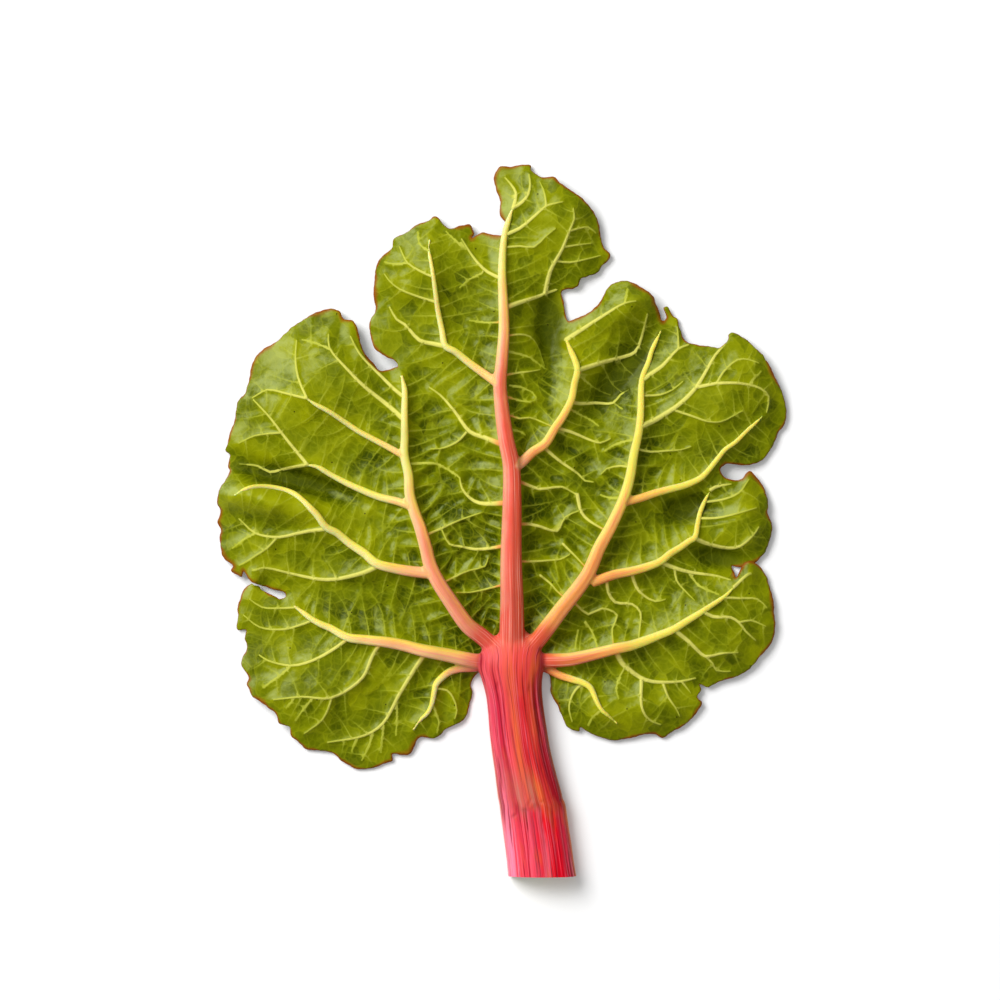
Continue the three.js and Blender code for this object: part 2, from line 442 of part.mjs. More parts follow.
/** Points inside the margin: along the veins, beside them, and on a lattice everywhere else. */
function innerPoints(margin) {
  const kept = [];
  const keep = (point, gap) => {
    if (isInside(point, margin) && toLoop(point, margin) > gap && isClear(point, kept, gap)) {
      kept.push(point);
    }
  };
  for (const { path } of [...RIBS, ...VEINS]) {
    alongCurve(path, VEIN_STEP).forEach((point) => keep(point, POINT_GAP));
  }
  for (const { path } of VEINS.filter(({ startWidth }) => startWidth >= FLANKED_WIDTH)) {
    const line = alongCurve(path, VEIN_STEP);
    for (let i = 1; i < line.length; i++) {
      const length = distance2(line[i - 1], line[i]);
      const normal = [(line[i - 1][1] - line[i][1]) / length, (line[i][0] - line[i - 1][0]) / length];
      const middle = [(line[i - 1][0] + line[i][0]) / 2, (line[i - 1][1] + line[i][1]) / 2];
      for (const side of [-FLANK_OFFSET, FLANK_OFFSET]) {
        keep([middle[0] + side * normal[0], middle[1] + side * normal[1]], POINT_GAP);
      }
    }
  }
  const rowStep = (LATTICE_STEP * Math.sqrt(3)) / 2;
  const [lowX, lowY, highX, highY] = [-150, -60, 140, 250];
  for (let row = 0; lowY + row * rowStep < highY; row++) {
    for (let column = 0; lowX + column * LATTICE_STEP < highX; column++) {
      const wobble = 0.25 * Math.sin(7 * row + 3 * column);
      const x = lowX + (column + (row % 2) / 2) * LATTICE_STEP + wobble;
      keep([x, lowY + row * rowStep - wobble], LATTICE_STEP * 0.62);
    }
  }
  return kept;
}

/** Delaunay triangles of a set of points, by adding the points one at a time (Bowyer and Watson). */
function delaunay(points) {
  const far = 5000;
  const all = [...points, [-far, -far], [far, -far], [0, far]];
  const circled = (i, j, k) => {
    const [ax, ay] = all[i];
    const [bx, by] = [all[j][0] - ax, all[j][1] - ay];
    const [cx, cy] = [all[k][0] - ax, all[k][1] - ay];
    const double = 2 * (bx * cy - by * cx);
    const x = (cy * (bx * bx + by * by) - by * (cx * cx + cy * cy)) / double;
    const y = (bx * (cx * cx + cy * cy) - cx * (bx * bx + by * by)) / double;
    return { corners: [i, j, k], x: x + ax, y: y + ay, reach: x * x + y * y };
  };
  const count = points.length;
  let triangles = [circled(count, count + 1, count + 2)];
  for (let p = 0; p < count; p++) {
    const [x, y] = all[p];
    const edges = new Map();
    triangles = triangles.filter((triangle) => {
      if ((x - triangle.x) ** 2 + (y - triangle.y) ** 2 >= triangle.reach) {
        return true;
      }
      const [i, j, k] = triangle.corners;
      for (const [from, to] of [[i, j], [j, k], [k, i]]) {
        if (!edges.delete(`${to} ${from}`)) {
          edges.set(`${from} ${to}`, [from, to]);
        }
      }
      return false;
    });
    for (const [from, to] of edges.values()) {
      triangles.push(circled(from, to, p));
    }
  }
  return triangles.map(({ corners }) => corners).filter((corners) => Math.max(...corners) < count);
}

/** Splits every edge of the margin that the triangles miss, until all of them are there. */
function fittedNet(margin, inner) {
  let loop = margin;
  for (;;) {
    const points = [...loop, ...inner];
    const triangles = delaunay(points);
    const edges = new Set(triangles.flatMap(([i, j, k]) => [`${i} ${j}`, `${j} ${k}`, `${k} ${i}`]));
    const missing = (i, j) => !edges.has(`${i} ${j}`) && !edges.has(`${j} ${i}`);
    const next = loop.flatMap((point, i) => {
      const j = (i + 1) % loop.length;
      const middle = [(point[0] + loop[j][0]) / 2, (point[1] + loop[j][1]) / 2];
      return missing(i, j) ? [point, middle] : [point];
    });
    if (next.length === loop.length) {
      const within = triangles.filter(([i, j, k]) => {
        const centre = [0, 1].map((axis) => (points[i][axis] + points[j][axis] + points[k][axis]) / 3);
        return isInside(centre, loop);
      });
      return { loop, points, triangles: within };
    }
    loop = next;
  }
}

/**
 * Closed solid between an upper face over the net and a lower face alike. upper and lower give a vertex's
 * [x, y, z] from its number in the net, and the loop runs clockwise.
 */
function netSolid({ loop, points, triangles }, upper, lower) {
  const count = points.length;
  const positions = [...points.map((_, i) => upper(i)), ...points.map((_, i) => lower(i))].flat();
  const index = triangles.flatMap(([i, j, k]) => [i, j, k, i + count, k + count, j + count]);
  for (let i = 0; i < loop.length; i++) {
    const j = (i + 1) % loop.length;
    index.push(j, j + count, i + count, j, i + count, i);
  }
  const geometry = new THREE.BufferGeometry();
  geometry.setAttribute("position", new THREE.Float32BufferAttribute(positions, 3));
  geometry.setIndex(index);
  return geometry;
}

// ---------------------------------------------------------------- the stalk and its ribs

// Along the stalk, from the cut to the head: y, left side, right side, underside and ridge-top height.
const STALK_STATIONS = [
  [STALK_CUT_Y, -2, 31.8, 0, 17.4], [-102, -2.7, 30.4, 0, 17.3], [-93, -3.8, 29.1, 0, 17], [-85, -4.8, 27.8, 0, 16.8],
  [-79, -5.6, 27, 0, 16.8], [-74.5, -6, 26.5, 0, 17], [-71, -6.7, 25.4, 0, 16.4], [-66, -7.4, 24, 0, 16],
  [-57, -8.6, 21.5, 0, 15.8], [-47, -10.1, 19, 0, 15.6], [-37, -11.3, 17.2, 0, 15.6], [-28, -12, 15.7, 0, 15.8],
  [-20, -13, 14.8, 1.2, 16.2], [-13, -14.8, 14.8, 3.4, 16.6], [-6, -16.8, 15.8, 5, 16.8], [0, -16.2, 15.6, 5.2, 16],
  [6, -13, 12.6, 5.4, 14],
];
const STALK_RIDGES = 9;
const RIDGE_DEPTH = 0.45;
const STALK_ROUNDNESS = 0.72; // below 1 the sides stand steeper than a circle's
const RIB_SIDES = 4; // faces over the top of a rib
const WIDE_RIB_SIDES = 6;
const WIDE_RIB = 5; // ribs that start wider than this have more faces

/**
 * Closed solid through equal rings of points, its ends closed by a fan round each ring's middle. Each ring
 * runs from right over the top to left, seen along the way from the first ring to the last.
 */
function loft(rings) {
  const size = rings[0].length;
  const middle = (ring) => [0, 1, 2].map((axis) => ring.reduce((sum, p) => sum + p[axis], 0) / ring.length);
  const positions = [...rings.flat(), middle(rings[0]), middle(rings[rings.length - 1])].flat();
  const start = rings.length * size;
  const last = start - size;
  const index = [];
  for (let k = 0; k < size; k++) {
    const next = (k + 1) % size;
    for (let ring = 0; ring < last; ring += size) {
      index.push(ring + k, ring + size + next, ring + next, ring + k, ring + size + k, ring + size + next);
    }
    index.push(start, k, next, start + 1, last + next, last + k);
  }
  const geometry = new THREE.BufferGeometry();
  geometry.setAttribute("position", new THREE.Float32BufferAttribute(positions, 3));
  geometry.setIndex(index);
  return geometry;
}

/** A ring of the stalk: ridged and round above, flat below, across the stalk at one height y. */
function stalkRing([y, left, right, under, top]) {
  const ring = [];
  const centre = (left + right) / 2;
  const half = (right - left) / 2;
  const steps = 2 * STALK_RIDGES;
  for (let k = 0; k <= steps; k++) {
    const angle = (Math.PI * k) / steps;
    const groove = k % 2 ? 0 : RIDGE_DEPTH;
    const rise = (top - under) * 0.82 - groove;
    const height = under + (top - under) * 0.18 + rise * Math.sin(angle) ** STALK_ROUNDNESS;
    ring.push([centre + (half - groove * Math.abs(Math.cos(angle))) * Math.cos(angle), y, height]);
  }
  ring.push([centre - half * 0.94, y, under + 0.6]);
  ring.push([centre - half * 0.82, y, under]);
  ring.push([centre + half * 0.82, y, under]);
  ring.push([centre + half * 0.94, y, under + 0.6]);
  return ring;
}

/**
 * A rib as a half round bar that follows the blade, deep enough below to reach the blade on both sides. Its
 * rings stand at the points that the blade's net has along the rib.
 */
function ribSolid(rib) {
  const sides = rib.startWidth > WIDE_RIB ? WIDE_RIB_SIDES : RIB_SIDES;
  const line = alongCurve(rib.path, VEIN_STEP);
  const rings = line.map((point, i) => {
    const before = line[Math.max(i - 1, 0)];
    const after = line[Math.min(i + 1, line.length - 1)];
    const length = distance2(before, after);
    const across = [(after[1] - before[1]) / length, (before[0] - after[0]) / length];
    const width = THREE.MathUtils.lerp(rib.startWidth, rib.endWidth, i / (line.length - 1));
    const level = bladeHeight(point, MARGIN_LOOP) + RIB_GAP;
    const at = (aside, height) => [point[0] + aside * across[0], point[1] + aside * across[1], level + height];
    const ring = [];
    const base = -0.2 * width;
    for (let k = 0; k <= sides; k++) {
      const angle = (Math.PI * k) / sides;
      ring.push(at((width / 2) * Math.cos(angle), base + (RIB_HEIGHT_RATIO * width - base) * Math.sin(angle)));
    }
    const deep = -2 - 0.6 * width;
    ring.push(at(-width / 2, deep), at(width / 2, deep));
    return ring;
  });
  return loft(rings);
}

// ---------------------------------------------------------------- joining and cutting

/** A closed geometry as a solid that can be joined and cut. */
function toSolid(geometry) {
  const merged = mergeVertices(geometry, 1e-5);
  return new wasm.Manifold(
    new wasm.Mesh({
      numProp: 3,
      vertProperties: new Float32Array(merged.attributes.position.array),
      triVerts: new Uint32Array(merged.index.array),
    }),
  );
}

/** A joined or cut solid as a geometry again. */
function toGeometry(solid) {
  const { vertProperties, triVerts } = solid.getMesh();
  const geometry = new THREE.BufferGeometry();
  geometry.setAttribute("position", new THREE.BufferAttribute(vertProperties, 3));
  geometry.setIndex(new THREE.BufferAttribute(triVerts, 1));
  geometry.computeVertexNormals();
  return geometry;
}

// ---------------------------------------------------------------- the object

const MARGIN_LOOP = alongCurve(MARGIN, MARGIN_STEP, true);
const NET = fittedNet(MARGIN_LOOP, innerPoints(MARGIN_LOOP));
const FACE = NET.points.map((point) => {
  const [dx, dy, dz] = overlapShift(point);
  return [point[0] + dx, point[1] + dy, bladeHeight(point, MARGIN_LOOP) + dz];
});

const bladeGeometry = netSolid(
  NET,
  (i) => FACE[i],
  (i) => [FACE[i][0], FACE[i][1], FACE[i][2] - BLADE_THICKNESS],
);

/** The room that the ribs leave free: everything below RIB_GAP over the blade, and a little past its margin. */
function clearanceGeometry() {
  const past = 0.5;
  const count = NET.loop.length;
  const outward = (i) => {
    const before = NET.loop[(i + count - 1) % count];
    const after = NET.loop[(i + 1) % count];
    const length = distance2(before, after);
    return [(before[1] - after[1]) / length, (after[0] - before[0]) / length];
  };
  const plan = FACE.map(([x, y], i) => {
    const [nx, ny] = i < count ? outward(i) : [0, 0];
    return [x + past * nx, y + past * ny];
  });
  return netSolid(
    NET,
    (i) => [...plan[i], FACE[i][2] + RIB_GAP],
    (i) => [...plan[i], -30],
  );
}

let stalkSolid = toSolid(loft(STALK_STATIONS.map(stalkRing)));
for (const rib of RIBS) {
  stalkSolid = stalkSolid.add(toSolid(ribSolid(rib)));
}
stalkSolid = stalkSolid.subtract(toSolid(clearanceGeometry()));

const leafGreen = new THREE.MeshStandardMaterial({ color: 0x7c8a0c, roughness: 0.45, metalness: 0 });
const stalkRed = new THREE.MeshStandardMaterial({ color: 0xc8283c, roughness: 0.35, metalness: 0 });

const blade = new THREE.Mesh(bladeGeometry, leafGreen);
blade.name = "leaf_blade";

const stalk = new THREE.Mesh(toGeometry(stalkSolid), stalkRed);
stalk.name = "stalk_and_ribs";

const rhubarb = new THREE.Group();
rhubarb.add(blade, stalk);
const box = new THREE.Box3().setFromObject(rhubarb);
rhubarb.position.set(-(box.min.x + box.max.x) / 2, -(box.min.y + box.max.y) / 2, -box.min.z);

export default rhubarb;
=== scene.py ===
"""A rhubarb leaf with the upper part of its stalk, lying underside up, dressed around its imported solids.

The drawing is in millimetres, with its origin where the ribs meet the stalk, +Y towards the leaf's tip and
+Z up from the surface that the leaf lies on. Meshes are in metres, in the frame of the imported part.
"""

import logging
from collections.abc import Iterator
from dataclasses import dataclass
from enum import Enum

import bmesh
import bpy
import numpy as np
from mathutils.geometry import delaunay_2d_cdt
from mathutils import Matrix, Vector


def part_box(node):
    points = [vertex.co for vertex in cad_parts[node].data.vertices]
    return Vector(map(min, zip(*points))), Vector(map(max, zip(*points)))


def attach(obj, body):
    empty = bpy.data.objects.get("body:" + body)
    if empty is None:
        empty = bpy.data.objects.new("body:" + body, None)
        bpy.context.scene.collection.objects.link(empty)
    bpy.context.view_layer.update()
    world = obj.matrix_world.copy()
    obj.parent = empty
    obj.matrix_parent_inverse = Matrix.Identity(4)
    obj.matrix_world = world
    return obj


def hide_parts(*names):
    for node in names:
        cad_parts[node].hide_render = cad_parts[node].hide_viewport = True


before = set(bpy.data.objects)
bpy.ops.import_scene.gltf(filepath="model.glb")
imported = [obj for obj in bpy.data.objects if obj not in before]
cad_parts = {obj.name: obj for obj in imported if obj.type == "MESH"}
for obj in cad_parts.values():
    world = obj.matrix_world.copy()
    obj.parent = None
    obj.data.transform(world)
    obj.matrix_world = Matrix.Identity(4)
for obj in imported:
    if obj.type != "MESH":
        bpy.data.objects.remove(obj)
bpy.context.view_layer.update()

MM = 0.001
log = logging.getLogger("rhubarb")


# ---------------------------------------- the drawing: margin, ribs, veins and swells


@dataclass(frozen=True)
class Vein:
    """A rib or vein that narrows evenly from one width to the other along its path, in mm.

    The red of the stalk is strongest at its root and has faded after the length blush.
    """

    start_width: float
    end_width: float
    path: list
    blush: float = 0.0
    root_blush: float = 1.0


@dataclass(frozen=True)
class Swell:
    """A smooth rise of the blade, or a fold if height is below 0: centre, two radii in mm, and turn."""

    x: float
    y: float
    long_radius: float
    short_radius: float
    degrees: float
    height: float

    def share(self, points: np.ndarray) -> np.ndarray:
        """Share of the full height at each point: exp(-along^2 - across^2) in units of the two radii.

        Args:
            points: n x 2 places in mm.

        Returns:
            n shares, 1 at the centre.
        """
        turn = np.radians(self.degrees)
        dx, dy = (points - (self.x, self.y)).T
        along = (dx * np.cos(turn) + dy * np.sin(turn)) / self.long_radius
        across = (dy * np.cos(turn) - dx * np.sin(turn)) / self.short_radius
        return np.exp(-along * along - across * across)


@dataclass(frozen=True)
class Overlap:
    """Where a lobe's margin is carried over its neighbour: only points past the line root-mouth move."""

    centre: tuple
    radius: float
    root: tuple
    mouth: tuple
    shift: tuple

    def carry(self, points: np.ndarray) -> np.ndarray:
        """Shift of each point: full at the centre, and none before the line from root to mouth.

        Args:
            points: n x 2 places in mm.

        Returns:
            n x 3 shifts in mm.
        """
        root = np.array(self.root)
        line = np.array(self.mouth) - root
        dx, dy = line / np.hypot(*line)
        rel = points - root
        past = rel[:, 0] * dy - rel[:, 1] * dx
        near = np.exp(-(((points - self.centre) ** 2).sum(1)) / self.radius**2)
        return (smoothstep(past, -0.5, 1.0) * near)[:, None] * np.array(self.shift)


MARGIN = [
  # left basal lobe
  [-17.5, -9.5], [-20.5, -14.5], [-20, -18.5], [-20.5, -22.5], [-22, -28], [-24.5, -32.5], [-27.5, -34.5],
  [-33, -37], [-36, -40], [-39.5, -41.5], [-44, -41], [-46.5, -41.5], [-48.5, -45], [-50.5, -49],
  [-54.5, -50],
  [-60, -49.5], [-59.5, -52.5], [-63, -54], [-68.5, -56], [-77, -57], [-83.5, -54], [-86.5, -51.5],
  [-89.5, -49], [-97, -47.5], [-103, -47], [-105.5, -44.5], [-110.5, -40], [-111, -36], [-116, -34],
  [-118, -29], [-122, -26], [-126.5, -22.5], [-130, -20.5], [-131, -17.5], [-132.5, -14.5], [-131.5, -11],
  [-134, -7], [-135.5, -3.5], [-132.5, 3], [-132.5, 5.5], [-133.5, 8], [-133, 12.5], [-137, 12.5],
  [-137.5, 15.5], [-137, 19.5], [-137, 23.5], [-136, 27.5], [-134, 33], [-128.5, 35.8], [-125, 33],
  [-122, 31], [-118, 29], [-116, 28], [-113, 29.3],
  # lower left lobe
  [-113.5, 31.2], [-118.5, 32.5], [-122, 34], [-125, 36.2], [-127, 38.5], [-130, 40.5], [-134, 43.5],
  [-135, 41], [-138, 41], [-140.5, 42.5], [-139.5, 44.5], [-143.5, 48], [-145.5, 53.5], [-146, 59.5],
  [-145.5, 62.5], [-147, 66], [-145.5, 72.5], [-147, 75.5], [-146, 82.5], [-143.5, 86.5], [-141, 92.5],
  [-142, 94], [-141, 100], [-143, 102],
  # upper left lobe
  [-142, 106], [-141, 110.5], [-138.5, 117.5], [-137, 126.5], [-133.5, 130.5], [-131.5, 136.5],
  [-130.5, 143], [-128, 149], [-124, 153], [-117, 157], [-113, 161], [-109.5, 164], [-106, 166.5],
  [-98, 171], [-92, 173], [-86.5, 172], [-84, 168], [-79.5, 167], [-77, 162.5], [-75.5, 156], [-73, 150],
  [-68.5, 145], [-66, 142], [-60, 143], [-57, 144],
  # upper middle left lobe
  [-58.5, 147], [-63, 149], [-68, 152.5], [-70.5, 159], [-71, 166.5], [-68, 172], [-69, 178.5],
  [-69, 183.5],
  [-68, 192], [-66, 198], [-60, 203], [-59, 207.5], [-52, 211.5], [-47.5, 215], [-41.5, 217], [-39.5, 219],
  [-37.5, 219], [-34.5, 215.5], [-31.5, 213], [-24, 215], [-21, 215], [-19, 210.5], [-20, 208.5],
  [-15, 211], [-10, 210], [-4.5, 210],
  # tip lobe
  [-3, 215], [-6, 219.5], [-6, 226.5], [-8, 233], [-9, 239], [-6, 244], [-1, 244], [4.5, 245],
  [9.5, 244.5],
  [9.5, 242.5], [15.5, 238.5], [20.5, 239], [25, 235], [30, 231.5], [34, 229], [38.5, 224], [42, 219.5],
  [44, 211], [46, 203.5], [49, 200.5], [48, 197], [45, 194.5], [42.5, 191], [37.5, 189], [34.5, 188],
  [33, 184.5], [30.5, 183], [25, 182], [26, 175.5], [28, 167],
  # upper middle right lobe
  [31.5, 168], [36.5, 170], [42, 174], [45, 178.5], [47, 182], [49.5, 185], [53, 186.5], [56.5, 187],
  [64, 184], [69.5, 180], [72.5, 174], [75.5, 167],
  # upper right lobe
  [77.2, 168.5], [75.5, 173.5], [77.5, 174], [80.5, 169.5], [82.5, 168], [84, 162.5], [86.5, 157],
  [92.5, 155], [100.5, 154], [103.5, 153.5], [108, 158], [108, 160], [110.5, 161], [117, 157.5],
  [123, 152],
  [126.5, 148], [131, 139.5], [134.5, 132], [137, 123], [136, 115], [133, 111], [130, 104], [125, 97.5],
  [118, 95], [112, 95], [106.5, 95.5], [104, 93],
  # right middle lobe
  [104.5, 91], [106, 89], [111, 87.5], [114.5, 88], [118.5, 92], [122.5, 88.5], [126, 83], [128, 74.5],
  [127.5, 71.5], [130, 64.5], [129, 58], [127, 53], [126, 51], [122, 46.5], [118.5, 45], [114.5, 44],
  [112.5, 44], [110, 44.5], [111, 41], [112.2, 38],
  # lower right lobe
  [114, 39.5], [116, 41.3], [119, 42.2], [122, 42.6], [125, 41.5], [127, 39], [128.5, 34.5], [130.5, 27.5],
  [131, 19.5], [131.5, 13.5], [129.5, 6], [124, -0.5], [118.5, -7], [111, -11], [104, -13], [98, -16],
  [93.5, -14.5], [94.5, -17], [92.5, -21], [95, -23.5], [92, -29], [86, -35], [80.5, -38], [75, -41.5],
  [71.5, -39.5], [66.5, -39.5], [59, -41.5], [51.5, -42.5], [44, -41], [38, -38.5], [34, -36], [33.5, -38],
  [28, -36], [24.5, -29.5], [22.5, -24.5], [19.5, -19.5], [18.5, -10],
  # under the head of the stalk
  [13, -7], [4, -6], [-5, -6], [-13, -7],
]

RIBS = [
  # midrib
  Vein(13.4, 2.4, [
    [0, -4], [0, 7.5], [0, 17.5], [0, 27.5], [-0.5, 47.5], [0, 77.5], [-0.5, 95], [-3, 107.5], [-5, 122.5],
    [-6, 135], [-5, 147.5], [-4, 162.5], [-4.5, 177.5], [-5, 190], [-4.5, 202.5], [-3.5, 210.5],
    [-1.5, 217.5],
    [0.5, 223],
  ], 198, 1.0),
  # left upper rib
  Vein(8.9, 2.8, [
    [-8, 3], [-14.5, 9], [-22, 15], [-29.5, 25.5], [-37.5, 38], [-41, 46], [-42.8, 53.5], [-45.7, 63.7],
    [-49, 72.8], [-51, 80.7], [-51.5, 89.5], [-53.6, 100], [-53.4, 108.5], [-53.5, 121], [-53.5, 132.5],
    [-55, 139.5],
  ], 104, 0.62),
  # left lower rib
  Vein(8, 2.3, [
    [-10, -2.5], [-17, -3], [-23.5, -1.8], [-31, 0], [-38.5, 1.5], [-46, 3], [-53.5, 5], [-61, 6.5],
    [-73.5, 8], [-81, 8.9], [-85, 10.6], [-90.3, 13.6], [-95.4, 15.7], [-100, 18.3], [-105, 22],
    [-109, 24.8],
  ], 90, 0.4),
  # right upper rib
  Vein(9, 1.9, [
    [8, 2], [15, 10.4], [24.9, 23.5], [32.8, 33.5], [37.8, 41], [43.5, 54], [49, 64], [55, 77],
    [58.5, 88.3], [60.5, 99.8], [63, 111.2], [64, 121], [64.5, 135], [65.5, 140], [68, 146], [70, 152.5],
    [73, 159], [74.5, 162.5],
  ], 99, 0.54),
  # right lower rib
  Vein(7.8, 1.8, [
    [10, -2.5], [21.5, -2.5], [29, -2], [34, -1], [44, 1.5], [51.5, 3.5], [59, 5], [66.5, 7.5], [74, 10.5],
    [80, 13], [86.5, 17], [93, 21], [96, 23], [101.5, 26.5], [106.5, 30], [110.5, 34],
  ], 54, 0.62),
  # lower left branch of the left upper rib
  Vein(5.8, 1.9, [
    [-40, 41], [-50, 42], [-58.5, 43.5], [-67.5, 46], [-73.5, 51], [-81, 56], [-87, 61], [-92.5, 64],
    [-97, 70], [-103.5, 76.5], [-108.5, 80.5], [-113.5, 82.5], [-121, 84], [-128.5, 84], [-133.5, 82.5],
    [-138.5, 79.5],
  ], 30, 0.34),
  # middle branch of the left upper rib
  Vein(4.2, 2.5, [
    [-51, 74.5], [-56, 76.5], [-66, 79], [-76, 83], [-83.5, 86.5], [-91, 90.5], [-97, 94], [-102, 95],
  ], 12, 0.2),
  # upper branch of the left upper rib
  Vein(3.4, 2.2, [
    [-54, 99.5], [-61, 103.5], [-68.5, 107.5], [-76, 111.5], [-83.5, 116.5], [-91, 121.5], [-98.5, 125.5],
    [-102, 128],
  ], 8, 0.2),
  # middle branch of the right upper rib
  Vein(5.2, 1.9, [
    [39.5, 36.5], [51.5, 40.5], [59, 42], [66.5, 44], [74, 47], [79, 51], [84, 54], [89, 57.5], [91, 58.5],
    [92.5, 65], [94, 71.5], [96.5, 77.5], [99, 82.5],
  ], 34, 0.36),
  # upper branch of the right upper rib
  Vein(4.5, 1.5, [
    [55.5, 76.5], [64, 78.5], [71.5, 81], [79, 83], [86.5, 85], [94, 88.5], [98, 92.5], [102, 97.5],
    [106, 102.5], [111.5, 106.5], [116.5, 111.5], [121.5, 116], [125, 119.5],
  ], 26, 0.3),
  # right branch of the midrib
  Vein(5.4, 2.8, [
    [0, 93], [4.5, 96], [10.5, 101.5], [16.5, 105.5], [21.5, 113.5], [25, 118.5], [29.5, 127.5], [31, 135],
    [32.5, 142], [31.5, 146.5], [29, 152.5], [27, 157.5],
  ], 62, 0.34),
  # left branch of the midrib
  Vein(4.6, 1.5, [
    [-6, 134.5], [-13.5, 140], [-21, 145.5], [-28.5, 151.5], [-33, 154], [-35, 162.5], [-37, 172.5],
    [-38, 180], [-39, 187.5], [-40.5, 196.5], [-41.5, 202.5], [-41, 207.5],
  ], 26, 0.3),
  # basal rib on the left
  Vein(4.8, 1.4, [
    [-13, -5], [-19, -6], [-26, -6.5], [-31, -8], [-35, -11], [-38, -14.5], [-39, -19], [-40, -24],
    [-42, -28.5], [-46, -32.5], [-49.5, -37.5],
  ], 24, 0.45),
  # basal rib on the right
  Vein(4.6, 1.5, [
    [13, -5], [18, -7], [24, -10], [30, -12], [35, -13.5], [39, -16], [41, -20], [42.5, -23.5],
    [45, -27.5], [48, -30], [52.5, -34],
  ], 22, 0.45),
]

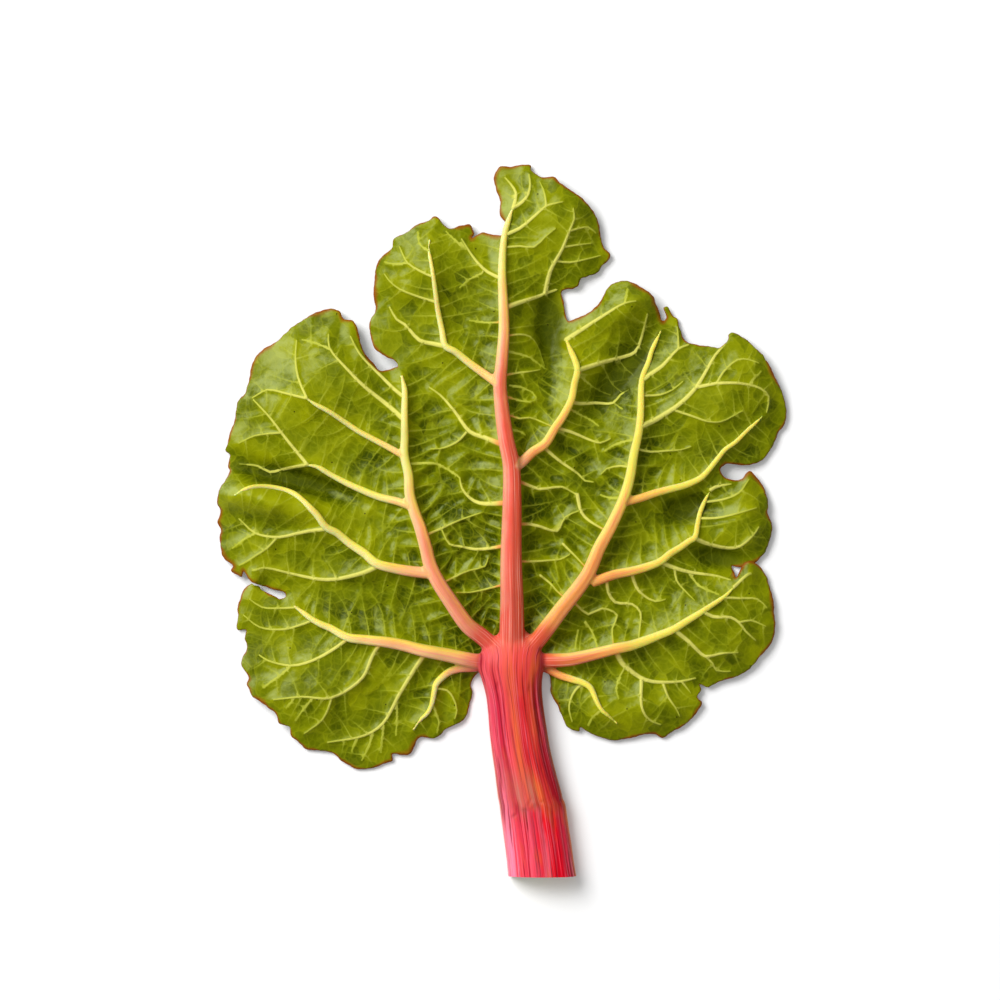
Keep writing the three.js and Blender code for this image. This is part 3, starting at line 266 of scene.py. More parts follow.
VEINS = [
  # tip of the midrib and the tip lobe
  Vein(1.95, 0.8, [[0.5, 223], [2, 230.5], [-0.5, 235], [-3.5, 238.5]]),
  Vein(1.95, 0.8, [[0.5, 223], [5, 226], [8, 230], [9, 235], [8.5, 240]]),
  Vein(2.05, 0.8, [[-2.5, 210], [4, 213], [9, 217], [14, 221.5], [17, 224], [25, 226]]),
  Vein(1.15, 0.6, [[17, 224], [16.5, 228.5], [15.5, 232.5], [14, 236]]),
  Vein(1.15, 0.7, [[-3, 203.5], [4, 204], [11, 203.5], [16.5, 208.5], [21.5, 212.5]]),
  Vein(2.8, 1.15, [[-4, 173], [4, 176], [11.5, 178.5], [16.5, 180.5], [22, 182.5]]),
  Vein(2.5, 0.8, [[16.5, 180.5], [19, 191.5], [25, 202.5], [29, 212.5], [31, 217.5], [30.5, 222.5]]),
  Vein(1.15, 0.7, [[29, 211.5], [34, 213], [38, 213.5], [41.5, 211]]),
  Vein(1.15, 0.7, [[26, 203.5], [31.5, 204.5], [39, 205.5]]),
  Vein(1.15, 0.7, [[22.5, 196.5], [29, 196], [36.5, 197.5], [44, 199.5]]),
  # left of the midrib
  Vein(2.6, 0.9, [[-33, 154], [-40, 155.5], [-46, 157], [-53.5, 165], [-57.5, 167.5], [-61, 173.5]]),
  Vein(1.35, 0.7, [[-38, 176], [-46, 178.5], [-56, 182.5], [-61, 186.5], [-63.5, 190]]),
  Vein(1.35, 0.7, [[-39.5, 188.5], [-46, 191.5], [-52, 195.5], [-54.5, 200], [-56, 203.5]]),
  Vein(0.9, 0.6, [[-52, 195.5], [-58.5, 195], [-63.5, 196]]),
  Vein(0.9, 0.6, [[-41.5, 201.5], [-46, 205], [-47, 211]]),
  Vein(1.95, 0.8, [[-5, 187.5], [-12, 191], [-16, 194.5], [-20, 199.5], [-25, 207.5]]),
  Vein(0.9, 0.6, [[-25, 204], [-30, 208.5], [-33, 211.5]]),
  Vein(0.9, 0.6, [[-15, 190.5], [-21, 187.5], [-26, 183.5]]),
  Vein(0.9, 0.6, [[-5, 166], [-13.5, 166], [-21, 167]]),
  Vein(2.8, 0.8, [[-5, 105], [-13.5, 108.5], [-21, 111.5], [-28.5, 121.5], [-36, 130], [-41, 133.5]]),
  Vein(1.25, 0.7, [[-23, 111], [-26, 107.5], [-30, 105], [-36, 103], [-40, 103]]),
  Vein(2.8, 0.8, [[-3, 76], [-16, 76], [-21, 78.5], [-25, 83.5], [-26, 88.5]]),
  Vein(0.9, 0.8, [[-52, 95.5], [-37.5, 95.5], [-33.5, 93.5], [-28.5, 90.5], [-26, 88.5]]),
  Vein(1.95, 0.7, [[-4, 54.8], [-11, 53.5], [-18.5, 53], [-26, 54.5], [-31, 55.5], [-35.5, 64]]),
  Vein(1.35, 0.7, [[-43, 60], [-36, 63], [-26, 67.5], [-16, 71]]),
  Vein(1.15, 0.7, [[-4, 35.5], [-13.5, 33], [-21, 31.5], [-27, 31.5]]),
  Vein(1.15, 0.7, [[-34, 36.5], [-26, 40.5], [-21, 42.5], [-13.5, 44.5], [-12, 48.5]]),
  # right of the midrib
  Vein(1.15, 0.6, [[-4, 159], [4, 160], [9, 159], [12.5, 155], [16, 145]]),
  Vein(1.35, 0.7, [[-4, 139.5], [4, 141], [9, 141.5], [14, 142.5]]),
  Vein(0.9, 0.6, [[-3, 129], [4, 127], [9, 126.5], [12, 127.5]]),
  Vein(1.15, 0.7, [[-2, 120], [4, 118], [9, 118.5], [19, 114.5]]),
  Vein(1.95, 0.8, [[15, 104.5], [20.5, 99.5], [25, 96], [33, 90.5], [36.5, 87], [40, 86.5]]),
  Vein(1.95, 0.8, [[21.5, 113.5], [29, 111.5], [40, 107], [44, 106], [49, 108]]),
  Vein(2.05, 0.8, [[28, 126.5], [34, 125.5], [41.5, 126], [50.5, 126], [54, 130], [58, 132.5]]),
  Vein(0.9, 0.6, [[28, 123.5], [34, 120], [39, 117.5], [43, 114.5]]),
  Vein(2.7, 0.9, [[32.5, 142], [46.5, 146.5], [54, 148.5], [61.5, 151.5], [64, 156.5], [67.5, 170]]),
  Vein(2.5, 0.8, [[27, 157.5], [34, 162], [46.5, 170], [56, 175.5], [61.5, 176.5]]),
  Vein(0.9, 0.6, [[56, 175.5], [57.5, 182.5]]),
  Vein(0.9, 0.6, [[33, 140], [39, 135], [44, 132], [49, 130]]),
  Vein(0.9, 0.6, [[44.5, 146], [47, 141], [50, 135.5], [54, 132]]),
  Vein(1.85, 0.8, [[3, 87], [9, 84.5], [14, 83], [25, 84], [29, 82], [32.5, 80]]),
  Vein(2.05, 0.9, [[32.5, 80], [34.5, 71.5], [38, 67.5], [47, 62]]),
  Vein(1.85, 0.7, [[2, 65.5], [9, 65.5], [15, 64], [22.5, 62], [26.5, 69], [33, 72]]),
  Vein(1.35, 0.7, [[3, 47], [11.5, 47], [19, 47.5], [24, 48], [28, 50]]),
  Vein(1.25, 0.7, [[25.5, 55.5], [29, 52], [32.5, 48.5], [37, 43.5]]),
  Vein(1.25, 0.7, [[14, 40], [19, 36], [22, 32.5], [27, 28]]),
  Vein(1.35, 0.7, [[60, 93.5], [54, 94.5], [47, 93], [44.5, 90.5]]),
  Vein(0.9, 0.7, [[63, 108.5], [54, 106], [50, 104.5], [46.5, 102]]),
  # upper right lobe
  Vein(3, 1.15, [[64, 114], [71.5, 117.5], [78, 121.5], [83, 125], [91.5, 133.5], [101.5, 150],
    [106, 155]]),
  Vein(1.85, 0.8, [[91.5, 133.5], [101.5, 135.5], [114, 135.5], [124, 133], [128, 129], [127, 121.5]]),
  Vein(1.15, 0.7, [[102, 136], [105, 141], [112.5, 147.5], [118, 147.5], [122.5, 146]]),
  Vein(0.9, 0.6, [[118.5, 135.5], [121, 138.5], [124, 141.5]]),
  Vein(2.6, 0.9, [[64.5, 137], [70, 141], [75, 144.5], [83, 153], [88, 155]]),
  Vein(1.15, 0.7, [[83, 153.5], [83, 158.5], [82.5, 164]]),
  Vein(1.25, 0.7, [[64.5, 129.5], [74, 130], [80, 132.5], [85, 136.5]]),
  Vein(1.35, 0.7, [[62, 103], [69, 101.5], [76.5, 102], [84, 102.5], [89, 104]]),
  Vein(1.25, 0.7, [[81.5, 122], [89, 119.5], [98, 116.5], [104, 116.5], [114, 121.5]]),
  # right middle lobe
  Vein(2.05, 0.8, [[99, 82.5], [101.5, 84], [109, 85.5]]),
  Vein(2.4, 0.8, [[91, 58.5], [96.5, 56], [108, 53.5], [114, 54.5], [121.5, 61.5], [123, 64]]),
  Vein(1.35, 0.7, [[93.5, 68.5], [101.5, 68.5], [109, 70], [121.5, 73.5]]),
  Vein(1.25, 0.7, [[96.5, 76.5], [104, 77.5], [113, 81], [118, 87.5]]),
  Vein(2.4, 0.8, [[74, 46.5], [81.5, 43.5], [89, 41.5], [103, 39.5], [109, 37.5]]),
  # lower right lobe
  Vein(3, 0.9, [[51, 3.5], [55, -4], [59, -7.5], [64, -11], [70, -13], [84, -13], [91, -11.5]]),
  Vein(1.95, 0.8, [[64.5, -12], [64.5, -25], [66.5, -30], [70, -33], [74, -34.5]]),
  Vein(1.35, 0.7, [[75.5, -14.5], [78, -21], [81.5, -26], [83.5, -30]]),
  Vein(1.15, 0.6, [[85, -13.5], [89, -18.5]]),
  Vein(2.4, 0.8, [[80.5, 13], [88, 7], [92.5, 2.5], [96.5, -0.5], [104, 1], [112.5, 1.5]]),
  Vein(1.15, 0.7, [[96.5, -0.5], [100, -4], [102, -7.5], [109, -8]]),
  Vein(1.95, 0.8, [[95, 22], [100, 19.5], [109, 19], [113, 16.5], [116.5, 12], [121.5, 7.5]]),
  Vein(1.15, 0.7, [[113, 16.5], [119, 17.5], [126.5, 14.5]]),
  Vein(1.35, 0.7, [[105.5, 29], [114, 28.5], [122.5, 28], [127, 24]]),
  Vein(1.85, 0.8, [[110.5, 34], [114, 36], [120, 37.5]]),
  Vein(1.35, 0.7, [[35, -14], [31.5, -17.5], [29, -22.5], [28.5, -27.5], [30, -33]]),
  Vein(0.9, 0.6, [[44, -27.5], [40, -31], [38, -35]]),
  Vein(1.85, 0.7, [[47, 38], [48, 31.5], [51.5, 26.5], [60, 25.5], [64, 21.5], [63.5, 12.5], [63, 7]]),
  Vein(1.95, 0.7, [[59.5, 41], [62, 34], [65.5, 30], [71.5, 27], [76.5, 28]]),
  Vein(1.25, 0.6, [[81, 43], [82, 37.5], [85.5, 33], [91, 27.5]]),
  Vein(1.35, 0.7, [[30.5, 27], [35, 22.5], [38, 20.5], [45, 23.5], [52.5, 20], [50, 13.5], [50.5, 5]]),
  Vein(0.9, 0.6, [[56.5, -5.5], [54, -10], [52, -16.5], [53, -21.5]]),
  # upper left lobe
  Vein(1.85, 0.8, [[-102, 95], [-106, 100], [-111, 106], [-116, 112.5], [-121, 119], [-129, 127.5]]),
  Vein(1.85, 0.8, [[-102, 95], [-108.5, 94], [-116, 92.5], [-121, 91.5], [-127, 94.5], [-136, 95.5]]),
  Vein(1.15, 0.7, [[-114.5, 111], [-122, 110.5], [-128.5, 109.5], [-136, 106]]),
  Vein(1.35, 0.8, [[-102, 128], [-108.5, 129.5], [-116, 131.5], [-122, 132.5], [-129.5, 128.5]]),
  Vein(1.35, 0.8, [[-102, 128], [-106.5, 138.5], [-108, 148.5], [-107.5, 157]]),
  Vein(2.6, 0.8, [[-53.5, 117], [-61, 124], [-73.5, 134], [-81, 141.5], [-91, 153.5], [-91.5, 160]]),
  Vein(0.9, 0.6, [[-91, 152.5], [-96, 155], [-104.5, 157.5]]),
  Vein(2.05, 0.8, [[-53.5, 128.5], [-58.5, 132.5], [-64.5, 138.5], [-76, 150.5], [-80.5, 159]]),
  # lower left lobe
  Vein(2.05, 0.8, [[-92.5, 63], [-101, 62], [-108.5, 60.5], [-116, 59], [-128, 61], [-136, 68]]),
  Vein(1.15, 0.7, [[-117, 59], [-122, 53.5], [-128.5, 49.5], [-136, 45.5]]),
  Vein(0.9, 0.6, [[-128, 61], [-133.5, 58], [-139.5, 53.5]]),
  Vein(2.6, 0.8, [[-66, 45], [-73.5, 41.5], [-88.5, 38], [-96, 38], [-111, 41], [-125, 44.5],
    [-129, 44.5]]),
  # left basal lobe
  Vein(1.95, 0.8, [[-81, 9], [-88.5, 3.5], [-99.5, -2.5], [-110, -5], [-122, -2.5], [-126, 0]]),
  Vein(0.9, 0.7, [[-110, -5], [-114.5, -9], [-124, -16]]),
  Vein(2.05, 0.8, [[-65, 7], [-69.5, 0], [-74.5, -11], [-90, -21], [-104.5, -20.5], [-118.5, -22]]),
  Vein(1.15, 0.7, [[-90, -21.5], [-92, -27.5], [-95, -32.5], [-103.5, -39]]),
  Vein(0.9, 0.6, [[-100, -22], [-104.5, -27.5], [-108, -32.5]]),
  Vein(2.5, 0.8, [[-43, 1.5], [-49, -7.5], [-56, -19], [-64.5, -34], [-73.5, -40], [-92, -43.5]]),
  Vein(0.9, 0.6, [[-64, -35], [-65, -42.5], [-65.5, -48.5]]),
  Vein(0.9, 0.6, [[-69.5, -39], [-72, -46.5], [-75, -52.5]]),
  Vein(0.9, 0.6, [[-57.5, -24], [-57.5, -32.5], [-58, -40]]),
  Vein(1.35, 0.7, [[-98, 18], [-106, 15], [-113.5, 13], [-126, 14], [-134, 20]]),
  Vein(1.15, 0.7, [[-107, 24], [-116, 23.5], [-125, 24], [-131, 28]]),
  Vein(1.15, 0.7, [[-38, -16.5], [-32.5, -17.5], [-29.5, -21], [-27.5, -27.5], [-28.5, -31.5]]),
  Vein(0.9, 0.6, [[-39.5, -25], [-37.5, -30], [-36.5, -33.5], [-37.5, -38.5]]),
]

SWELLS = [
  Swell(0, -4, 36, 26, 0, -9),  # the blade dips under the head of the stalk
  Swell(19, 164, 24, 9, 90, -9),  # fold between the tip lobe and the upper middle right lobe
  Swell(56, 141, 28, 10, 48, -11),  # fold left of the right upper rib
  Swell(88, 73, 14, 9, 20, -8),  # fold under the upper right lobe
  Swell(104, 49, 14, 7, -10, -7),  # fold under the lower right lobe
  Swell(-110, 87.5, 30, 6, -14, -12),  # valley above the lower left lobe
  Swell(-124, 77, 28, 9, -14, 14),  # rolled crest of the lower left lobe
  Swell(-98, 132, 36, 22, 40, 9),  # upper left lobe
  Swell(-122, 54, 20, 14, 0, 5),  # lower left lobe
  Swell(-100, -18, 34, 20, 20, 8),  # left basal lobe
  Swell(-46, 192, 26, 20, 0, 9),  # upper middle left lobe
  Swell(22, 218, 26, 18, 60, 10),  # tip lobe
  Swell(58, 174, 18, 10, 30, 9),  # upper middle right lobe
  Swell(106, 130, 30, 20, 40, 10),  # upper right lobe
  Swell(116, 68, 12, 18, 0, 6),  # right middle lobe
  Swell(104, 14, 26, 22, 0, 8),  # lower right lobe
  Swell(58, -26, 30, 12, 0, 6),  # its basal half
]

# thin veins that the solids leave out
THIN_VEINS = [
  Vein(0.9, 0.6, [[-2, 151.5], [4, 150], [9, 148.5], [12.5, 146], [16.5, 143]]),
  Vein(0.9, 0.6, [[-1, 134.5], [5, 133.5], [10, 131], [12, 128.5]]),
  Vein(0.9, 0.6, [[0, 112.5], [4, 111.5], [6.5, 110]]),
  Vein(0.9, 0.6, [[53, 148], [56.5, 143.5], [60, 140.5]]),
  Vein(0.8, 0.6, [[50.5, 126], [55, 123]]),
  Vein(0.9, 0.6, [[53.5, 78.5], [49, 78.5], [44, 80]]),
  Vein(0.9, 0.6, [[89, 40], [93, 35], [98, 32.5], [103, 30.5]]),
  Vein(0.9, 0.6, [[36.5, 16.5], [39.5, 12.5], [41.5, 7.5], [42.5, 3.5]]),
  Vein(0.8, 0.6, [[33, 12.5], [32, 7.5], [31.5, 3.5]]),
  Vein(0.8, 0.6, [[-109, -22], [-112.5, -26]]),
  Vein(0.8, 0.6, [[-77.5, -41.5], [-80, -47.5]]),
]

OVERLAPS = [
  Overlap((119, 41), 6, (111, 41.5), (128, 45), (-1, 5, 3.5)),
  Overlap((-130, 39.5), 6, (-113, 30.3), (-138, 39), (0, -4, 4)),
]


# the stalk's outline: y, left, right, under, top
STALK_STATIONS = [
  [-110.2, -2, 31.8, 0, 17.4], [-102, -2.7, 30.4, 0, 17.3], [-93, -3.8, 29.1, 0, 17],
  [-85, -4.8, 27.8, 0, 16.8],
  [-79, -5.6, 27, 0, 16.8], [-74.5, -6, 26.5, 0, 17], [-71, -6.7, 25.4, 0, 16.4], [-66, -7.4, 24, 0, 16],
  [-57, -8.6, 21.5, 0, 15.8], [-47, -10.1, 19, 0, 15.6], [-37, -11.3, 17.2, 0, 15.6],
  [-28, -12, 15.7, 0, 15.8],
  [-20, -13, 14.8, 1.2, 16.2], [-13, -14.8, 14.8, 3.4, 16.6], [-6, -16.8, 15.8, 5, 16.8],
  [0, -16.2, 15.6, 5.2, 16],
  [6, -13, 12.6, 5.4, 14],
]

# and where its skin runs out between the ribs
HEAD_STATIONS = [[10, -8, 9.6, 5.4, 12.4], [14, -4.8, 5.2, 5.4, 10.5], [18, -3.5, 3.5, 5.4, 8]]


@dataclass(frozen=True)
class Crease:
    """A shallow dent in the stalk, or a nick in its skin: middle, turn, two radii and depth, in mm."""

    x: float
    y: float
    degrees: float
    long_radius: float
    short_radius: float
    depth: float

    def share(self, points: np.ndarray) -> np.ndarray:
        """How deep in the dent each point is, 1 in its middle and 0 outside it."""
        dent = Swell(self.x, self.y, self.long_radius, self.short_radius, self.degrees, 1)
        return dent.share(points[:, :2])


CREASES = [
  # the kink, where the ridges have buckled
  Crease(1.0, -79.6, 40, 1.8, 0.8, 0.5),
  Crease(2.6, -76.4, 80, 3.0, 0.7, 0.3),
  Crease(6.4, -77.0, -15, 1.6, 0.8, 0.5),
  Crease(8.4, -73.4, 70, 2.6, 0.7, 0.3),
  Crease(11.4, -74.8, 45, 1.6, 0.7, 0.4),
  Crease(15.0, -72.6, 20, 1.6, 0.8, 0.4),
  Crease(25.4, -70.8, 52, 2.6, 1.0, 0.6),
  # shoulders under the lower side ribs, dented and darkened as painted shade
  Crease(-16.2, -1.5, 95, 5.5, 2.4, 0.2),
  Crease(16.4, -1.0, 88, 6.5, 2.6, 0.2),
  # nicks near the head
  Crease(-7.5, -15, 80, 2.2, 0.6, 0.4),
  Crease(8.5, -16, 85, 2.4, 0.6, 0.4),
]

# brownish strips above the kink, where the skin has been rubbed, and orange ones
BRUISES = [
  Swell(3.3, -69, 11, 1.7, -76, 1), Swell(9.6, -67, 9, 1.7, -74, 1), Swell(-2, -65, 14, 2.2, -80, 0.5),
]
AMBER = [
  Swell(13.2, -67, 9, 2.0, -72, 1), Swell(2.8, -42, 22, 0.9, -85, 0.8), Swell(10, -34, 16, 2, -82, 0.35),
]


# ---------------------------------------- plan geometry


def smoothstep(value: np.ndarray, low: float, high: float) -> np.ndarray:
    """0 below low, 1 above high and the cubic 3t^2 - 2t^3 between them; low may be the greater."""
    t = np.clip((np.asarray(value) - low) / (high - low), 0.0, 1.0)
    return t * t * (3 - 2 * t)


def smooth_curve(path: np.ndarray, step: float, closed: bool = False) -> np.ndarray:
    """Points along a centripetal Catmull-Rom curve through a path, with every point of the path kept.

    Each span is the cubic whose end tangents come from the square roots of the three chord lengths round it.

    Args:
        path: n x d points.
        step: longest gap between two points of the curve.
        closed: whether the last point joins the first.

    Returns:
        m x d points along the curve.
    """
    path = np.asarray(path, float)
    if closed:
        knots = np.concatenate([path[-1:], path, path[:2]])
    else:
        knots = np.concatenate([2 * path[:1] - path[1:2], path, 2 * path[-1:] - path[-2:-1]])
    p0, p1, p2, p3 = knots[:-3], knots[1:-2], knots[2:-1], knots[3:]
    chord = [np.sqrt(np.linalg.norm(b - a, axis=1))[:, None] for a, b in ((p0, p1), (p1, p2), (p2, p3))]
    leave = ((p1 - p0) / chord[0] - (p2 - p0) / (chord[0] + chord[1]) + (p2 - p1) / chord[1]) * chord[1]
    arrive = ((p2 - p1) / chord[1] - (p3 - p1) / (chord[1] + chord[2]) + (p3 - p2) / chord[2]) * chord[1]
    pieces = np.ceil(np.linalg.norm(p2 - p1, axis=1) / step).astype(int)
    span = np.repeat(np.arange(len(pieces)), pieces)
    first = np.cumsum(pieces) - pieces
    t = ((np.arange(len(span)) - first[span]) / pieces[span])[:, None]
    p1, p2, leave, arrive = p1[span], p2[span], leave[span], arrive[span]
    cubic = 2 * (p1 - p2) + leave + arrive
    square = 3 * (p2 - p1) - 2 * leave - arrive
    points = ((cubic * t + square) * t + leave) * t + p1
    return points if closed else np.concatenate([points, path[-1:]])


def run_length(line: np.ndarray) -> np.ndarray:
    """Length along a line of points from its first point to each point."""
    return np.concatenate([[0.0], np.cumsum(np.linalg.norm(np.diff(line, axis=0), axis=1))])


def resampled(line: np.ndarray, step: float) -> np.ndarray:
    """Points evenly spaced along a line, no farther apart than the step."""
    run = run_length(line)
    at = np.linspace(0, run[-1], int(np.ceil(run[-1] / step)) + 1)
    return np.stack([np.interp(at, run, column) for column in line.T], axis=1)


def thinned(points: np.ndarray, cell: float) -> np.ndarray:
    """Points with only the first in each square of the plan kept."""
    _, first = np.unique(np.round(points / cell), axis=0, return_index=True)
    return points[np.sort(first)]


def side_normals(line: np.ndarray) -> np.ndarray:
    """Unit vectors to the right of a plan line, seen along its way."""
    way = np.gradient(line, axis=0)
    way /= np.linalg.norm(way, axis=1)[:, None]
    return np.stack([way[:, 1], -way[:, 0]], axis=1)


def noise(points: np.ndarray, cell: float, seed: int) -> np.ndarray:
    """Smooth gradient noise between about -1 and 1: random slopes at grid corners, eased between them.

    Args:
        points: n x 2 places.
        cell: size of the grid's squares, in the points' unit.
        seed: picks the slopes.

    Returns:
        n values.
    """
    table = 256
    turns = np.random.default_rng(seed).uniform(0, 2 * np.pi, (table, table))
    at = points / cell
    corner = np.floor(at).astype(int)
    part = at - corner
    ease = part**3 * (part * (part * 6 - 15) + 10)
    total = np.zeros(len(points))
    for i in (0, 1):
        for j in (0, 1):
            turn = turns[(corner[:, 0] + i) % table, (corner[:, 1] + j) % table]
            rise = np.cos(turn) * (part[:, 0] - i) + np.sin(turn) * (part[:, 1] - j)
            weight = np.abs(1 - i - ease[:, 0]) * np.abs(1 - j - ease[:, 1])
            total += rise * weight
    return 1.5 * total


class Strands:
    """Veins, or a margin, as short straight pieces that points can be measured against."""

    PIECE = 4.0  # mm, longest piece
    TILE = 16.0  # mm, side of a tile of points
    WIDEST = 7.0  # mm, a wider rib draws the blade up no further
    TENT_HEIGHT = 1.3  # mm that a vein 1 mm wide draws the blade up

    def __init__(self, lines: list, widths: list) -> None:
        """Cuts lines of points into pieces.

        Args:
            lines: plan lines, each m x 2 in mm.
            widths: (start, end) width for each line, in mm.
        """
        self.start = np.concatenate([line[:-1] for line in lines])
        self.way = np.concatenate([np.diff(line, axis=0) for line in lines])
        runs = [run_length(line) for line in lines]
        self.run = np.concatenate([run[:-1] for run in runs])
        self.length = np.linalg.norm(self.way, axis=1)
        self.owner = np.repeat(np.arange(len(lines)), [len(line) - 1 for line in lines])
        wide = [a + (b - a) * run / run[-1] for (a, b), run in zip(widths, runs)]
        self.width = np.concatenate([w[:-1] for w in wide])
        self.narrowing = np.concatenate([np.diff(w) for w in wide])

    @classmethod
    def of_veins(cls, veins: list) -> "Strands":
        """The strands of a list of veins."""
        lines = [smooth_curve(vein.path, cls.PIECE) for vein in veins]
        return cls(lines, [(vein.start_width, vein.end_width) for vein in veins])

    def gaps(self, points: np.ndarray, pieces: np.ndarray) -> tuple:
        """Distance from each point to each piece, and where along the piece its nearest point is.

        Args:
            points: n x 2 places in mm.
            pieces: the m pieces to measure to.

        Returns:
            gap and share along, both n x m.
        """
        way = self.way[pieces]
        rel_x = points[:, :1] - self.start[pieces, 0]
        rel_y = points[:, 1:] - self.start[pieces, 1]
        share = (rel_x * way[:, 0] + rel_y * way[:, 1]) / self.length[pieces] ** 2
        share = np.clip(share, 0, 1)
        return np.hypot(rel_x - share * way[:, 0], rel_y - share * way[:, 1]), share

    def tiles(self, points: np.ndarray, reach: float) -> Iterator[tuple]:
        """Points in square tiles, each tile with the pieces that can matter to it: every piece that may be
        the nearest to one of its points, and those within a reach.

        Args:
            points: n x 2 places in mm.
            reach: distance in mm from a point that a piece matters at, also where another is nearer.

        Yields:
            numbers of a tile's points, and of its pieces.
        """
        _, tile = np.unique(np.floor(points / self.TILE), axis=0, return_inverse=True)
        tile = tile.ravel()
        order = np.argsort(tile, kind="stable")
        every = np.arange(len(self.start))
        for members in np.split(order, np.flatnonzero(np.diff(tile[order])) + 1):
            middle = points[members].mean(0)
            radius = np.linalg.norm(points[members] - middle, axis=1).max()
            gap = self.gaps(middle[None], every)[0][0]
            limit = radius + max(gap.min() + radius + self.width.max() / 2, reach)
            yield members, np.flatnonzero(gap <= limit)

    @staticmethod
    def foot(width: np.ndarray | float) -> np.ndarray | float:
        """Mm beside a vein over which the blade falls away: 1.6 + 1.9 w^0.9."""
        return 1.6 + 1.9 * width**0.9

    def tent(self, points: np.ndarray) -> np.ndarray:
        """How high the blade is drawn up along its veins: 1.3 w^0.95 exp(-gap / foot), the most of all
        pieces, where w is the vein's width up to WIDEST.

        Args:
            points: n x 2 places in mm.

        Returns:
            n heights in mm.
        """
        height = np.empty(len(points))
        widest = min(self.width.max(), self.WIDEST)
        for members, pieces in self.tiles(points, 6 * self.foot(widest)):
            gap, share = self.gaps(points[members], pieces)
            width = np.minimum(self.width[pieces] + self.narrowing[pieces] * share, self.WIDEST)
            rise = self.TENT_HEIGHT * width**0.95 * np.exp(-gap / self.foot(width))
            height[members] = rise.max(1)
        return height

    def nearest(self, points: np.ndarray, by_flank: bool = False) -> dict:
        """The nearest piece to each point.

        Args:
            points: n x 2 places in mm.
            by_flank: measures to the vein's flank, half its width off its middle, instead of to the middle.

        Returns:
            gap to the middle, right (gap with a sign, above 0 on the right), run along the vein, width
            there and owner, n values each.
        """
        found = {key: np.empty(len(points)) for key in ("gap", "right", "run", "width", "owner")}
        for members, pieces in self.tiles(points, 0):
            gap, share = self.gaps(points[members], pieces)
            width = self.width[pieces] + self.narrowing[pieces] * share
            column = (gap - width / 2 if by_flank else gap).argmin(1)
            row = np.arange(len(column))
            k = pieces[column]
            rel = points[members] - self.start[k]
            side = rel[:, 0] * self.way[k, 1] - rel[:, 1] * self.way[k, 0]
            found["gap"][members] = gap[row, column]
            found["right"][members] = np.copysign(gap[row, column], side)
            found["run"][members] = self.run[k] + share[row, column] * self.length[k]
            found["width"][members] = width[row, column]
            found["owner"][members] = self.owner[k]
        return found


def is_inside(points: np.ndarray, loop: np.ndarray) -> np.ndarray:
    """True for points inside a closed loop: a level line from them crosses an odd number of its edges.

    Args:
        points: n x 2 places.
        loop: m x 2 points, the last joined to the first.

    Returns:
        n truth values.
    """
    inside = np.zeros(len(points), bool)
    following = np.roll(loop, -1, axis=0)
    for (ax, ay), (bx, by) in zip(loop, following):
        if ay != by:
            crosses = (ay > points[:, 1]) != (by > points[:, 1])
            inside ^= crosses & (points[:, 0] < (bx - ax) * (points[:, 1] - ay) / (by - ay) + ax)
    return inside


# ---------------------------------------- meshes


def loft(rings: np.ndarray) -> tuple:
    """Closed skin through equal rings of points, with a fan over each end.

    Args:
        rings: n x m x 3 points, each ring from right over the top to left and back below.

    Returns:
        points and triangles.
    """
    count, size = rings.shape[:2]
    points = np.concatenate([rings.reshape(-1, 3), rings[[0, -1]].mean(axis=1)])
    k = np.arange(size)
    after = (k + 1) % size
    base = np.arange(count - 1)[:, None] * size
    a, b = (base + k).ravel(), (base + after).ravel()
    c, d = (base + size + after).ravel(), (base + size + k).ravel()
    last, start = (count - 1) * size, count * size
    faces = [np.stack([a, c, b], 1), np.stack([a, d, c], 1)]
    faces.append(np.stack([np.full(size, start), k, after], 1))
    faces.append(np.stack([np.full(size, start + 1), last + after, last + k], 1))
    return points, np.concatenate(faces)


def make_piece(name: str, points: np.ndarray, faces: list, scale: float = MM) -> bpy.types.Object:
    """A smooth shaded object in the scene.

    Args:
        name: its name.
        points: n x 3 places, in mm.
        faces: corners of each face.
        scale: factor from mm to the mesh's unit.

    Returns:
        The object, at the origin.
    """
    mesh = bpy.data.meshes.new(name)
    mesh.from_pydata((points * scale).tolist(), [], [tuple(face) for face in faces])
    mesh.shade_smooth()
    mesh.update()
    piece = bpy.data.objects.new(name, mesh)
    bpy.context.scene.collection.objects.link(piece)
    return piece


def read(items: bpy.types.bpy_prop_collection, key: str, size: int, kind: type = float) -> np.ndarray:
    """A property of every vertex, edge or face, as an array of len(items) x size."""
    values = np.empty(len(items) * size, kind)
    items.foreach_get(key, values)
    return values.reshape(-1, size)


def add_attribute(piece: bpy.types.Object, name: str, values: np.ndarray) -> None:
    """Keeps one number at each vertex of a piece, for its finish to read."""
    piece.data.attributes.new(name, "FLOAT", "POINT").data.foreach_set("value", values.astype(np.float32))


def signed_area(loop: np.ndarray) -> float:
    """Area of a plan loop, above 0 if it runs anticlockwise."""
    x, y = loop.T
    return float((x * np.roll(y, -1) - y * np.roll(x, -1)).sum() / 2)


def facing(points: np.ndarray, corners: np.ndarray, up: bool) -> np.ndarray:
    """Triangles all turned to face up, or all down, in plan.

    Args:
        points: n x 3 places.
        corners: k x 3.
        up: whether they face up.

    Returns:
        k x 3 corners.
    """
    a, b, c = points[corners[:, 0]], points[corners[:, 1]], points[corners[:, 2]]
    rises = (b[:, 0] - a[:, 0]) * (c[:, 1] - a[:, 1]) > (b[:, 1] - a[:, 1]) * (c[:, 0] - a[:, 0])
    return corners if np.median(rises) == up else corners[:, ::-1]


